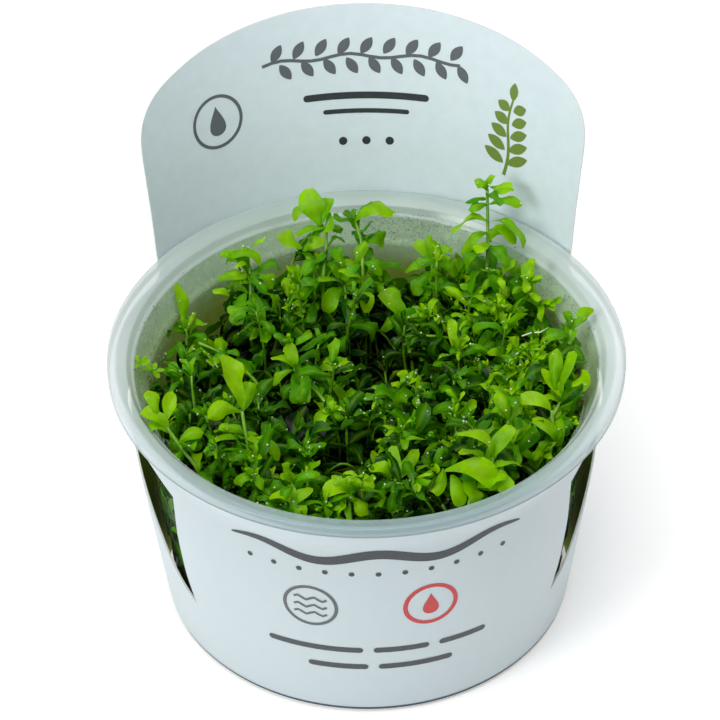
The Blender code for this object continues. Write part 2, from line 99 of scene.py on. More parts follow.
# Growth, as in the solid
RINGS = [(0.0, 12.8, 1), (12.8, 26.6, 5), (26.6, None, 9)]
CANOPY_H = 41.5
CANOPY_TILT = 0.09
CANOPY_RISE = 2.0
SWELLS = [(5.0, 9.0, -6.0, 10.5), (1.0, 22.0, -8.0, 7.5), (-21.0, 12.0, -6.0, 6.0),
          (-12.0, -4.0, -7.0, 6.5), (5.0, -26.0, -6.0, 5.0), (27.0, 22.0, 9.0, 11.0),
          (-17.0, 29.0, 8.0, 9.0), (37.0, 3.0, 5.0, 6.5), (12.0, 32.0, 5.0, 7.0),
          (19.0, -26.0, 4.0, 8.0), (-33.0, -8.0, 3.0, 8.0)]
OUTER_FEET_R = 38.0
# Where each leading shoot leaves the lower growth (x, y), where it ends (x, y, z), the heading of its
# top pair of leaves in degrees, and its leaf length
SHOOTS = [(24.5, 30, 25.6, 35.5, 69, 20, 7.2), (-7, 30, -9, 34.5, 66.5, 35, 7.4),
          (1.5, 28.5, 1.7, 33.5, 64.5, 5, 8.2), (-33, 16, -35.2, 19, 57.5, 80, 7),
          (-33, -12, -38.2, -12, 57, 120, 7), (-21, -15, -26.4, -5.5, 58.5, 100, 8.6),
          (-17.5, -3.5, -30, 9.5, 53, 60, 7), (-2.3, 20, -1.5, 19, 56, 10, 7.4),
          (-8, 3, -6.2, 1.5, 53, 0, 8), (8.5, 17, 8.5, 17.5, 52, 60, 7), (36, 10, 39, 8, 58, 30, 6.4),
          (33, -6.5, 37, -9.5, 57, 45, 8.4), (20, -17, 21.5, -22, 59, 70, 8.6),
          (15.5, -30.5, 17, -33, 57, 5, 9), (30.5, -19.5, 33, -21.5, 56.5, 140, 8),
          (-2.5, -31.5, -2.5, -34.5, 56, 0, 7.2), (-13, -32, -14, -35.5, 53.5, 30, 6.6),
          (10.5, -1.5, 9.5, -3.5, 51, 20, 6.4), (5, -15, 5.8, -17.5, 52.5, 50, 7.4),
          (-6, -9, -7, -10.5, 51.5, 75, 7.2), (-20, 26, -22, 28, 57.5, 130, 7.6),
          (-19, 14.5, -21, 16.5, 55, 15, 7.6), (-11, 19, -12.5, 21.5, 57.5, 85, 7.8),
          (32, 19.5, 33.5, 21, 56, 110, 7), (26, 10, 28, 11, 53.5, 25, 7.6),
          (15, 26, 15.5, 28.5, 56, 65, 7.8), (-26.5, -22, -29.5, -23.5, 55.5, 150, 7.2),
          (-20.5, -28.5, -22.5, -30.5, 54, 40, 7), (17.5, -7.5, 17, -10.5, 53, 95, 7.4),
          (26.5, -8, 27.5, -10.5, 55, 120, 7.6), (-12.5, -19.5, -12.5, -21, 51, 10, 7),
          (6.5, -29, 7.5, -33, 54.5, 75, 7), (18.5, 8, 18.5, 7.5, 51, 140, 7),
          (-12, 8.5, -14, 7.5, 53.5, 45, 7), (-33.5, 2.5, -36, 2, 51, 100, 6.6)]
DRAWN_SHOOTS = (0, 1, 2, 3, 4, 5, 6, 9, 10, 11, 12, 13, 14, 16)
CUT_BACK_H = 49.0
LEADING_AGE = 0.05
LEADING_GAP = 6.2
FILLERS = 340
FILLER_LEAF = (5.2, 9.8)
FILLER_AGE = (0.04, 0.4)
FILLER_GAP = (3.8, 6.2)
FILLER_HOOK = (0.0, 3.5)
# Spells of extra young shoots: from and to in degrees, from and to in radius, and how many
BRIGHT_SPELLS = [(-55.0, 65.0, 22.0, 37.0, 60), (195.0, 262.0, 30.0, 37.0, 30),
                 (100.0, 135.0, 26.0, 36.0, 14)]
BRIGHT_LEAF = (4.6, 8.4)
BRIGHT_AGE = (0.0, 0.1)
BRIGHT_GAP = (3.0, 4.6)
BRIGHT_HOOK = (0.0, 3.0)
FILLER_REACH_R = 39.2
WALL_LEAVES = 1200
WALL_LEAF = (5.5, 8.5)
WALL_LEAF_R = 38.0
ARCHES = 26
ARCHES_R = 33.0
FRAGMENTS = [(-43.6, 1.3, 55.4), (-41.5, 3.0, 52.0)]
FRAGMENT_AGE = 0.08
# Leaves this deep under the canopy aren't made within this radius, because nothing shows them
UNSEEN_DEPTH = 12.0
UNSEEN_R = 31.0
# Painted light: leaves are made lighter to the right and to the back, by this much per millimetre
PAINTED_LIGHT_SLOPE_X = 0.002
PAINTED_LIGHT_SLOPE_Y = 0.0012
# Condensation: how many beads, middle and spread in degrees, from and to in height, from and to in size
SPRAYS = [(420, 76.0, 9.0, 50.8, 56.3, 0.1, 0.2), (240, 182.0, 22.0, 41.0, 56.0, 0.12, 0.38),
          (140, 20.0, 18.0, 41.0, 56.0, 0.12, 0.32)]
LOOSE_BEADS = 260
ROOTS_IN_GEL = 70
ROOTS_REACH = 26.0
DROPLETS = 1100
DROPLET_SIZE = (0.1, 0.27)
DROPLET_LOWEST_H = 42.0
GOLDEN = math.pi * (3.0 - math.sqrt(5.0))
ROOTED_H = 8.0
LOWEST_LEAF_H = 12.0
WALL_CLEAR = 0.5
WALL_TOUCH = 0.15
# By a leaf's place on its shoot, from the tip down: share of the full length, rise and curl in radians
LEVEL_SHARE = (0.46, 0.72, 0.95, 1.05, 1.0)
LEVEL_RISE = (1.3, 1.1, 0.9, 0.7, 0.5)
LEVEL_CURL = (1.2, 2.4, 2.9, 3.0, 2.8)
TUFT_STEPS = (1.1, 3.0)
LEAF_LENGTH = (0.7, 1.25)
LEAF_WIDTH = (0.22, 0.4)
LEAF_CURL = (0.1, 1.5)
LEAF_FOLD = (-1.1, 0.5)
LEAF_WAVE = (0.2, 0.65)
LEAF_RIPPLES = 10.5
RIB_PALENESS = 0.3
STEM_AGE = 0.4
OLDEST_LEAF = 0.85
STEM_SIDES = 6
LEAF_ROWS = 9
LEAF_COLUMNS = 5
TIP_CROWDING = 1.35

# Shoots drawn one by one. Each has the place of its top node, its foot (x, y), its stem below the node,
# and its leaves, in millimetres right and up in the photograph's view. A leaf is its base, its tip, how
# far its tip comes towards the viewer, its width, how far its middle bows up out of its chord, and its
# age.
HEROES = [
    ((26, 35.5, 66.3), (24.5, 30),
     [(0, 1.8), (0, 0), (0.1, -9), (-0.2, -18), (0.4, -26)],
     [(0, 1.5, -2.6, 3.6, 1, 2.8, 1.2, 0.1), (0, 1.6, 1.6, 4.4, 0.5, 2.4, 0.6, 0.1),
      (0.6, 2.2, 4.9, 3.2, 0.5, 2.2, -0.5, 0.05), (0.3, -1.2, 7, -1.3, 1, 2.8, 1.5, 0.1),
      (0, -1.2, -3.8, -2.2, 1, 2.6, 0.6, 0.15), (0, -4.6, -7.4, -6.3, 1.5, 4.6, 1.2, 0.02),
      (0.2, -4.8, 7.4, -9.6, 1.5, 2.8, 3.4, 0.12), (0.3, -6.4, 5.6, -8.6, 2.5, 2.8, 1.6, 0.1),
      (0, -6.8, -5.4, -10.4, 2.5, 3.2, 1.8, 0.12), (0, -9.8, 4.4, -13.6, 2.5, 3, 2, 0.2),
      (0, -10.2, -4.2, -14.6, 2, 3.4, 1.8, 0.2), (0, -13.6, 2.6, -19, 2.5, 3, 2, 0.3),
      (-0.2, -14.5, -3.6, -18.6, 2.5, 3.2, 1.6, 0.25), (0, -19.4, -5, -16.4, 1, 2.8, 0.8, 0.2),
      (0, -19.6, -4.4, -21.4, 1, 2.4, 0.8, 0.25), (0.2, -22, 4.4, -19.6, 1, 2.8, 0.8, 0.3)]),
    ((-8.1, 33, 59.1), (-7, 30),
     [(2.3, 4), (1.7, 1.9), (1.7, -2.3), (1, -9)],
     [(0.6, 3, -2.6, 10.2, 0.5, 5.2, 0.6, 0.1), (1, 3.6, 2.4, 8.4, -1, 3.2, 0.8, 0.15),
      (-1.8, 7, -4.8, 3.9, 1, 2.2, 0.8, 0.1), (2.3, 5.6, 1.6, 1.5, 1.5, 2.8, -0.6, 0.12),
      (-3.2, -1.7, -7.6, 1.6, 0.5, 4.6, 0.6, 0.05), (-2.9, -2.2, 0.9, 0.8, 1, 3.6, 0.8, 0.08),
      (0.2, 3.2, -2.2, 0.6, 2, 2.2, -1.4, 0.2), (1, -4.4, -3.8, -6.6, 1.5, 3.2, 1.4, 0.2),
      (1.4, -4.6, 5.2, -7.4, 1.5, 3.2, 1.6, 0.15), (0.6, -7.8, -3.4, -11.4, 2, 3.6, 1.6, 0.25)]),
    ((0.1, 33, 62.8), (1.5, 28.5),
     [(-0.8, 0.8), (0, -1.6), (0.6, -4), (0.9, -11)],
     [(-0.8, 0.6, 7, 3.2, 1.5, 3.8, 2.3, 0.06), (-0.8, 0.6, 2.6, 4.9, -0.6, 1.8, 1, 0.25),
      (-0.9, 0.4, -0.7, 3.4, -0.8, 1.2, 0.4, 0.3), (-0.8, -8.2, 1.2, -3.4, 1, 2.8, 0.7, 0.12),
      (0.8, -7.6, 4.8, -9.6, 1.5, 2.8, 1.4, 0.2), (0.6, -8, -3.6, -10.4, 1.5, 3, 1.4, 0.2)]),
    ((-35.1, 20, 47.8), (-33, 16),
     [(0, 1), (0.4, -4), (1.4, -10)],
     [(0, 0, -1.7, 9.6, 1, 2.7, 0.9, 0.08), (0.2, -1, -7, -0.2, 1.5, 3.6, 1.2, 0.3),
      (0.4, -1, 4.6, 1.2, 0.5, 2.8, 0.8, 0.1), (0.4, -3, -4.6, -5.6, 2, 3.2, 1.2, 0.3),
      (0.6, -4.4, 4.2, -7.4, 2, 3, 1.2, 0.35)]),
    ((-32.6, 14, 49.5), (-27, 8),
     [(0, 0), (5.4, -2.6), (10.4, -6.6), (13.4, -11.6), (14.6, -18)],
     [(6.4, -3.2, 3, -4.6, 2, 2, 1.8, 0.25), (10.6, -7, 7.4, -11, 1.5, 2.2, -1, 0.3)]),
    ((-38.4, -17, 56), (-32, -14),
     [(-0.2, -0.4), (2.8, -4.8), (5.8, -9)],
     [(-0.2, 0.8, 0.9, 6.3, 0.5, 2.8, -0.7, 0.02), (-0.6, -0.4, -4.6, 2.7, 1, 3.4, 0.8, 0.04),
      (-1.6, 1.6, -3.6, 6.6, 0, 2.6, 0.8, 0.06), (-0.4, -1, -4.4, -1, 1.5, 2.8, 1, 0.08),
      (2, -3.8, 6.4, -1, 1, 2.6, 1.2, 0.1), (2.8, -5, -0.6, -8, 1.5, 2.4, 0.8, 0.15)]),
    ((-24.5, -14, 56), (-19, -16),
     [(0.2, 0), (1, -5), (2.2, -10), (3.8, -15.5)],
     [(0.3, 0.6, -3.3, 10.8, 0.6, 4.4, 1, 0.02), (0.3, 0.2, 1.6, 5.6, 0, 3, -0.7, 0.12),
      (0.1, 0, -6.3, -1.3, 1.4, 3.4, 2, 0.03), (1.4, -6.2, 4.4, -9.6, 1.5, 2.4, 1.2, 0.15),
      (0.8, -5, -5.6, -5.2, 1.2, 2.6, 1.2, 0.12), (1.2, -6, 7.4, -8.4, 1.5, 2.4, 1.6, 0.14),
      (2.6, -10.4, -2.6, -9.2, 1, 2.6, 1.2, 0.2)]),
    ((-14, 4.5, 50), (-12, 2),
     [(0, 0), (2.4, -2.6), (5.4, -5.6), (7, -9)],
     [(0.1, 0, -1.3, 4.8, 0.8, 3, 0.9, 0.08), (0, 0, -4.2, 2.6, 0.8, 1.8, 1.4, 0.1),
      (-0.3, -0.2, -4.4, -2.6, 1, 1.9, 0.9, 0.1), (0.8, -0.6, 1.6, -6.6, 1.8, 4.6, 0.8, 0.2)]),
    ((-9.2, 8, 46), (-7, 6),
     [(0, 0.2), (3, -4.6), (4.4, -9), (4.2, -16)],
     [(-0.3, 0, 7.1, 0.8, 1, 3.6, 1.6, 0.06), (0.6, -1, 5.4, -6.4, 1.5, 2.8, 1.8, 0.12),
      (0, -1, -2.4, -5, 1.5, 3, 0.8, 0.2), (3.4, -6, 9.4, -4.2, 1, 2.4, 1.4, 0.12)]),
    ((40.2, 5.5, 56.6), (36, 4),
     [(0, 0), (-0.4, -3), (-1.2, -8)],
     [(0.2, 0.4, 4.1, 4.4, 0, 2.4, 0.7, 0.08), (0, 0.4, -1, 3.6, 0.5, 2.2, 0.5, 0.2),
      (0.1, 0, 2.6, 3.2, 1, 2, 0.4, 0.15), (-0.3, -2, -4.6, -1.2, 1, 2.6, 1, 0.2),
      (-0.4, -3.2, 2.4, -6.4, 1.5, 2.8, 1, 0.3)]),
    ((38, -11.6, 54), (33, -8),
     [(-0.4, 0), (-1.8, -1.4), (-4, -6)],
     [(-0.2, 0, 3.5, 5.4, 0.5, 3.2, -1, 0), (-1, 0, -4.6, 5.8, 0.5, 2.2, -0.8, 0.04),
      (-1.6, 1.4, 1, 9.2, 0, 3, 0.6, 0.1), (-2.4, 1.8, -2.2, 9.6, 0, 2.8, 0.8, 0.12),
      (-1.8, -0.6, -6.6, -0.4, 1.4, 3, 1.8, 0.06)]),
    ((34.6, -14.8, 54), (30.5, -19.5),
     [(0, 0), (0.2, -5), (-1, -11)],
     [(-0.2, 0, -5.9, 2.6, 1, 3, 1.4, 0), (1.4, -6.8, -3, -1.2, 1.4, 3, 1.4, 0.08),
      (1.6, -6.8, 1.2, -1.8, 0, 2.8, 0.9, 0.12), (0.4, -6.4, -3.4, -10.6, 2, 3.6, 1.6, 0.12)]),
    ((26.3, -15, 52), (20, -17),
     [(0, 0), (-1, -5), (-1.6, -10)],
     [(0, 0, -1.7, 5.6, 0.6, 3.2, 0.8, 0.08), (0.3, 0, 2, 4.6, 0.4, 2.6, -0.6, 0.1),
      (-0.3, 0, -4.2, 1, 1.2, 2.8, 1.4, 0.12), (0.2, -0.6, 4, -2.4, 1.2, 2.6, 1.2, 0.14)]),
    ((17.6, -32.6, 56), (15.5, -30.5),
     [(4.4, 2.6), (3.4, -1.2), (1, -3.2), (-0.4, -8)],
     [(4.4, 2.4, -1.9, 7.4, 1.2, 3.6, 3.4, 0.02), (4.2, 2.2, 7.8, 8.2, 0, 3.4, 1, 0.1),
      (-4.6, -0.2, 5.4, -2.4, 1.6, 4.6, 2.4, 0.03), (-5, 0.2, -7, -4.2, 1, 2.4, -1, 0.08),
      (-3.4, -1, -1.8, -6.8, 1.4, 3.4, 1, 0.06), (-1.2, -1.2, 1.4, -6.4, 1.2, 3.6, 1, 0.08),
      (3.6, -1, 7.4, -3.8, 1.2, 3.6, 1, 0.08), (3, 0.6, -1.8, 3.6, 1, 3, 1, 0.06),
      (3.4, -0.4, 9.4, 1.4, 0.8, 3, 1.4, 0.1)]),
    ((4, -28, 50), (5, -24),
     [(0, 0), (0, -5)],
     [(-0.6, -0.2, -3.8, 5.4, 1.4, 2.6, -1.6, 0.08), (0.4, -0.2, 3.9, 5.8, 0.6, 2.9, -0.9, 0.06),
      (-0.8, 0.2, -4.6, 2.4, 1.4, 2.6, 1.6, 0.08), (0.8, 5, 5.6, 7.6, 0.6, 1.9, 1.8, 0.12),
      (0, 0.2, -0.6, 6.2, 0.4, 2.6, 0.9, 0.1)]),
    ((-5, -33, 51), (-3, -30),
     [(0, 0), (0.4, -5)],
     [(0, 0, -4.4, 0.6, 1.4, 4, 1.6, 0.02), (0.2, 0.2, 4.8, 1.8, 1, 3.4, 1.6, 0.03),
      (0, 0.4, 0.6, 4.6, 0.6, 3.2, 0.6, 0.06), (-0.4, -0.4, -2.4, -3.6, 1.6, 3.4, 0.9, 0.05),
      (0.8, -0.4, 3.8, -3.4, 1.4, 3.4, 0.9, 0.04), (0.2, 0.4, -3, 3.8, 0.6, 2.6, 0.9, 0.08)]),
    ((-15.2, -35.2, 51), (-13, -32),
     [(0, 0), (0, -4)],
     [(0, 0, -4.4, 1.8, 1, 2.6, 1.2, 0.02), (0.2, 0.2, 3.4, 3.2, 0.6, 2.6, 1, 0.08),
      (0, 0.2, -1, 3.8, 0.5, 2.2, 0.6, 0.1), (0, 0.2, 1.6, -2.8, 1.5, 2.6, 0.8, 0.08)]),
    ((-21.9, 28, 56.6), (-20, 26),
     [(0, 0), (0.2, -5), (0, -10)],
     [(-6.7, -2.7, -0.4, -1, 1, 2.8, 1.2, 0.1), (-4.8, 0.6, 2.2, 0.8, 1, 3, 3, 0.12),
      (0.2, 4, 3, 6.2, 0, 1.3, 0.4, 0.04), (0, -1, 4.8, -3.4, 1.2, 4, 1, 0.15),
      (-4, -5.6, -7.4, -4.4, 0.8, 2.2, 0.8, 0.02), (-2.4, -3.8, 0.2, -3.2, 1, 2.4, 0.6, 0.02),
      (-0.8, -5, -2.6, -11.4, 2, 3.8, 1.2, 0.18), (0.8, -4.2, 5.8, -7.6, 1.4, 3.6, 1.4, 0.16),
      (0.4, -5, 2.2, -11, 2, 3.4, 1.2, 0.2), (-0.6, -0.6, -5.6, 3, 0.6, 2.6, 1.4, 0.14)]),
    ((14.9, 34, 51.5), (13, 31),
     [(0, 0), (0.2, -4), (0.6, -9)],
     [(0, 0, -3.4, 4.2, 0.8, 2.6, 0.8, 0.1), (0, 0, -0.4, 5.6, 0.4, 2.2, 0.5, 0.12),
      (0.3, 0, 3.7, 3.2, 0.8, 2.6, 0.9, 0.1), (0, -0.4, -5.6, -1.2, 1, 3, 1.2, 0.14),
      (0.3, -0.6, 5, -2.4, 1, 3.2, 1.2, 0.14), (0, -2, -3.8, -6.6, 1.6, 3.2, 1.3, 0.2),
      (0.5, -2.4, 3.6, -7.6, 1.6, 3.2, 1.3, 0.2), (-5.6, -1.4, -11.4, -0.6, 0.8, 2.4, 1.2, 0.2)]),
    ((32.4, 28, 49.4), (30, 25),
     [(0, 0), (-0.2, -4), (-0.8, -9)],
     [(0, 0, -2.4, 5.8, 0.6, 2.6, 0.7, 0.12), (0.2, 0, 3, 5, 0.4, 2.8, 0.7, 0.1),
      (0.4, -0.3, 6.2, 1.4, 0.8, 2.8, 1.2, 0.12), (0, -0.4, -5, -0.2, 1, 2.6, 1.1, 0.14),
      (0.3, -2, 6.2, -3.8, 1, 3.2, 1.4, 0.14), (-0.2, -2.4, -4.8, -5.6, 1.6, 3.2, 1.4, 0.18),
      (0.2, -3.8, 3, -9.8, 1.8, 3.6, 1.2, 0.18)]),
    ((-3, 27, 52.1), (-2, 24),
     [(0, 0), (0.2, -4), (0.6, -10)],
     [(0, 0, 5, -5.2, 2, 4.2, 1.3, 0.06), (0.2, 0.2, 5.4, 1.6, 0.8, 3.8, 1, 0.06),
      (-0.2, 0, -5.8, 1.6, 0.8, 3.6, 1.2, 0.1), (-0.3, -0.5, -4.2, -5.2, 1.8, 3.4, 1.3, 0.14),
      (0.1, 0.3, 1.2, 5.2, 0.2, 3, 0.7, 0.12)]),
    ((8.9, 24, 44.6), (8, 21),
     [(0, 0), (0.4, -4), (1.6, -10)],
     [(-0.2, 0, -4.8, 6, 0.8, 4.2, 1.2, 0.12), (0, -0.2, 1.8, -4.8, 1.6, 3.4, 0.9, 0.1),
      (0.2, 0, 4.8, 1.4, 0.8, 3.2, 1.1, 0.12), (-0.4, -0.2, -5, -1, 1.2, 3, 1.2, 0.18)]),
    ((7.8, 6, 43), (8, 4),
     [(0, 0), (0.4, -4)],
     [(0, 0, 2.6, 2.2, 0.6, 2.6, 0.6, 0.03), (0, 0, -2.6, 1, 0.8, 2.4, 0.6, 0.04),
      (0, 0, 0.2, -2.4, 1.2, 2.4, 0.6, 0.05), (0.2, 0.2, -0.6, 3.2, 0.2, 2.2, 0.5, 0.06)]),
]

# Camera: the photograph's long lens, aimed at the cup's rim
CAMERA_DISTANCE = 616.85
CAMERA_ELEVATION = 40.783
CAMERA_PITCH = 40.971
CAMERA_TURN = 2.5
CAMERA_YAW = 0.152
CAMERA_ROLL = -0.6
CAMERA_LENS = 160.0

# Lamps: name, place and size in metres, and power
LAMPS = [("top", (-0.1, -0.1, 1.2), 1.0, 9.5), ("key", (-0.8, -0.6, 0.65), 0.5, 5.3),
         ("fill", (0.8, -0.5, 1.1), 0.6, 1.6)]
LAMP_AIM = (0.0, 0.0, 0.04)
WORLD_LIGHT = 0.3
FLOOR_REACH = 6.0
FLOOR_GLOW = 0.25

# How the clear pieces bend light
PLASTIC_IOR = 1.49
WATER_IOR = 1.33
GEL_IOR = 1.34


def camera_axes():
    """The camera's turned axes: picture right, picture up and out towards the camera."""
    aim = Euler((math.radians(90.0 - CAMERA_PITCH), 0.0, math.radians(CAMERA_YAW - CAMERA_TURN)))
    return aim.to_matrix() @ Matrix.Rotation(math.radians(CAMERA_ROLL), 3, "Z")


def step(low, high, value):
    """Smooth 0 to 1 as value goes from low to high."""
    t = min(max((value - low) / (high - low), 0.0), 1.0)
    return t * t * (3.0 - 2.0 * t)


def along(points, value):
    """Straight-line reading of a list of (value, result) pairs."""
    if value <= points[0][0]:
        return points[0][1]
    for (v0, r0), (v1, r1) in zip(points, points[1:]):
        if value <= v1:
            return r0 + (r1 - r0) * (value - v0) / (v1 - v0)
    return points[-1][1]


def polar(r, a):
    """A flat point from its radius and its angle in radians."""
    return r * math.cos(a), r * math.sin(a)


def curve_point(p0, p1, p2, p3, t):
    """A point between p1 and p2 on the smooth curve through four points."""
    return 0.5 * (2 * p1 + (p2 - p0) * t + (2 * p0 - 5 * p1 + 4 * p2 - p3) * t ** 2
                  + (3 * p1 - p0 - 3 * p2 + p3) * t ** 3)


def linear(red, green, blue):
    """A colour given as 0 to 255, as the shaders' linear values."""
    made = []
    for c in (red, green, blue):
        c = c / 255.0
        made.append(c / 12.92 if c <= 0.04045 else ((c + 0.055) / 1.055) ** 2.4)
    return (*made, 1.0)


# Materials


def new_material(name, **sockets):
    """A material with its Principled shader. Its sockets' values go by their names, with underscores."""
    made = bpy.data.materials.new(name)
    made.use_nodes = True
    shader = made.node_tree.nodes["Principled BSDF"]
    for key, value in sockets.items():
        shader.inputs[key.replace("_", " ")].default_value = value
    return made, made.node_tree, shader


def ramp(tree, source, stops):
    """The colour of a ramp from a socket."""
    made = tree.nodes.new("ShaderNodeValToRGB")
    parts = made.color_ramp.elements
    for k, (place, colour) in enumerate(stops):
        part = parts[k] if k < 2 else parts.new(place)
        part.position = place
        part.color = colour
    tree.links.new(source, made.inputs["Fac"])
    return made.outputs["Color"]


def noise(tree, scale, detail=3.0, roughness=0.55):
    """Noise in the object's own coordinates."""
    where = tree.nodes.new("ShaderNodeTexCoord")
    made = tree.nodes.new("ShaderNodeTexNoise")
    for key, value in (("Scale", scale), ("Detail", detail), ("Roughness", roughness)):
        made.inputs[key].default_value = value
    tree.links.new(where.outputs["Object"], made.inputs["Vector"])
    return made.outputs["Fac"]


def share_along(tree, axis, low, high):
    """0 below a place in metres along one of the object's axes, and 1 above another."""
    where = tree.nodes.new("ShaderNodeTexCoord")
    split = tree.nodes.new("ShaderNodeSeparateXYZ")
    tree.links.new(where.outputs["Object"], split.inputs["Vector"])
    made = tree.nodes.new("ShaderNodeMapRange")
    made.inputs["From Min"].default_value = low
    made.inputs["From Max"].default_value = high
    tree.links.new(split.outputs[axis], made.inputs["Value"])
    return made.outputs["Result"]


def mix(tree, kind, factor, first, second, blend="MIX"):
    """The mix of two values or sockets by a factor."""
    made = tree.nodes.new("ShaderNodeMix")
    made.data_type = kind
    made.blend_type = blend
    for key, value in (("Factor", factor), ("A", first), ("B", second)):
        if isinstance(value, bpy.types.NodeSocket):
            tree.links.new(value, made.inputs[key])
        else:
            made.inputs[key].default_value = value
    return made.outputs["Result"]


def attribute(tree, name):
    """A value that the mesh carries at its points."""
    made = tree.nodes.new("ShaderNodeAttribute")
    made.attribute_name = name
    return made.outputs["Fac"]


def add_bump(tree, shader, source, strength, distance):
    """A bump from a height socket."""
    made = tree.nodes.new("ShaderNodeBump")
    made.inputs["Strength"].default_value = strength
    made.inputs["Distance"].default_value = distance * MM
    tree.links.new(source, made.inputs["Height"])
    tree.links.new(made.outputs["Normal"], shader.inputs["Normal"])


def plastic_wall():
    """Clear plastic with a film of condensation: thin haze, finely mottled, its yellow-green painted
    light from the growth.
    """
    # The haze is condensation; its yellow-green is painted light from the growth
    made, tree, shader = new_material("clear_plastic_wall", Base_Color=linear(206, 232, 192),
                                      Roughness=0.22, IOR=PLASTIC_IOR, Specular_IOR_Level=0.3)
    haze = noise(tree, 900.0, 5.0, 0.7)
    film = ramp(tree, haze, [(0.35, (0.2, 0.2, 0.2, 1)), (0.7, (0.42, 0.42, 0.42, 1))])
    alpha = mix(tree, "FLOAT", share_along(tree, "Z", 0.043, 0.049), 0.012, film)
    tree.links.new(alpha, shader.inputs["Alpha"])
    add_bump(tree, shader, haze, 0.25, 0.05)
    return made


def plastic_flange():
    """The same plastic where it is thicker and turned over: milky, smooth and faintly blue-green, with
    painted shade and green light at its front and back.
    """
    made, tree, shader = new_material("clear_plastic_flange", Roughness=0.24, IOR=PLASTIC_IOR,
                                      Alpha=0.58, Coat_Weight=0.4, Coat_Roughness=0.12)
    # Painted shade and light: darker and bluer at the front for the shade beneath it, darker and greener
    # at the back for the growth's light, lightest at the sides
    tint = ramp(tree, share_along(tree, "Y", -FLANGE_R * MM, FLANGE_R * MM), [
        (0.0, linear(160, 184, 190)), (0.25, linear(206, 220, 221)), (0.5, linear(228, 238, 238)),
        (1.0, linear(180, 198, 190))])
    tree.links.new(tint, shader.inputs["Base Color"])
    return made


def card_face(name, colour):
    """Coated card: smooth, with a faint unevenness."""
    made, tree, shader = new_material(name, Roughness=0.38, Coat_Weight=0.15, Coat_Roughness=0.3)
    fibre = noise(tree, 350.0, 4.0)
    low = [0.985 * c for c in colour[:3]] + [1.0]
    tree.links.new(ramp(tree, fibre, [(0.35, low), (0.65, colour)]), shader.inputs["Base Color"])
    add_bump(tree, shader, fibre, 0.12, 0.03)
    return made


def card_back():
    """The card's other side: white on the header, and below it painted green light that stands in for
    the growth's light behind the cup.
    """
    made, tree, shader = new_material("card_inside", Roughness=0.7, Specular_IOR_Level=0.06)
    fibre = noise(tree, 350.0, 4.0)
    header = ramp(tree, fibre, [(0.35, linear(218, 232, 237)), (0.65, linear(222, 236, 241))])
    # Painted light: olive green for the growth's light on the card's inside below the header
    painted_growth_light = ramp(tree, fibre, [(0.35, linear(186, 206, 84)), (0.65, linear(200, 218, 100))])
    tint = mix(tree, "RGBA", share_along(tree, "Z", 0.041, 0.047), painted_growth_light, header)
    tree.links.new(tint, shader.inputs["Base Color"])
    add_bump(tree, shader, fibre, 0.15, 0.03)
    return made


def mottled(name, low, high, colour, other, scale, detail, **sockets):
    """A material whose colour wanders between two with noise."""
    made, tree, shader = new_material(name, **sockets)
    tint = ramp(tree, noise(tree, scale, detail), [(low, colour), (high, other)])
    tree.links.new(tint, shader.inputs["Base Color"])
    return made


def ink(name, colour):
    """Print on the card."""
    light = [min(1.0, c + 0.012) for c in colour[:3]] + [1.0]
    return mottled(name, 0.4, 0.7, colour, light, 1500.0, 2.0, Roughness=0.42)


def leaf_material():
    """Young leaves yellow-green, older ones and those in painted shade deep green, with a paler midrib,
    glossy and lit through.
    """
    made, tree, shader = new_material("pearlweed_leaf", Roughness=0.3, Specular_IOR_Level=0.18)
    colour = ramp(tree, attribute(tree, "age_and_shade"), [
        (0.0, linear(158, 216, 0)), (0.2, linear(84, 166, 0)), (0.5, linear(24, 86, 0)),
        (0.8, linear(4, 26, 0))])
    paler = mix(tree, "RGBA", attribute(tree, "rib"), colour, linear(156, 200, 20))
    blotch = noise(tree, 420.0, 3.0)
    shade = ramp(tree, blotch, [(0.3, (0.78, 0.78, 0.78, 1)), (0.7, (1.1, 1.1, 1.1, 1))])
    mixed = mix(tree, "RGBA", 1.0, paler, shade, "MULTIPLY")
    tree.links.new(mixed, shader.inputs["Base Color"])
    add_bump(tree, shader, blotch, 0.3, 0.12)
    through = tree.nodes.new("ShaderNodeBsdfTranslucent")
    tree.links.new(mixed, through.inputs["Color"])
    both = tree.nodes.new("ShaderNodeMixShader")
    both.inputs["Fac"].default_value = 0.38
    tree.links.new(shader.outputs["BSDF"], both.inputs[1])
    tree.links.new(through.outputs["BSDF"], both.inputs[2])
    tree.links.new(both.outputs["Shader"], tree.nodes["Material Output"].inputs["Surface"])
    return made


# Meshes


def add_piece(name, verts, faces, materials):
    """One mesh piece from points in millimetres, riding on the part's one body."""
    mesh = bpy.data.meshes.new(name)
    scaled = [(x * MM, y * MM, z * MM) for x, y, z in verts]
    mesh.from_pydata(scaled, [], faces)
    for finish in materials:
        mesh.materials.append(finish)
    mesh.shade_smooth()
    obj = bpy.data.objects.new(name, mesh)
    bpy.context.scene.collection.objects.link(obj)
    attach(obj, "root")
    return obj


def rounded(points, radius):
    """A polyline whose inner corners are rounded off."""
    pieces = 4
    made = [points[0]]
    for before, here, after in zip(points, points[1:], points[2:]):
        a = Vector(before) - Vector(here)
        b = Vector(after) - Vector(here)
        reach = min(radius, a.length * 0.45, b.length * 0.45)
        start = Vector(here) + a.normalized() * reach
        end = Vector(here) + b.normalized() * reach
        for k in range(pieces + 1):
            t = k / pieces
            made.append(tuple(start * (1 - t) ** 2 + Vector(here) * 2 * t * (1 - t) + end * t ** 2))
    made.append(points[-1])
    return made


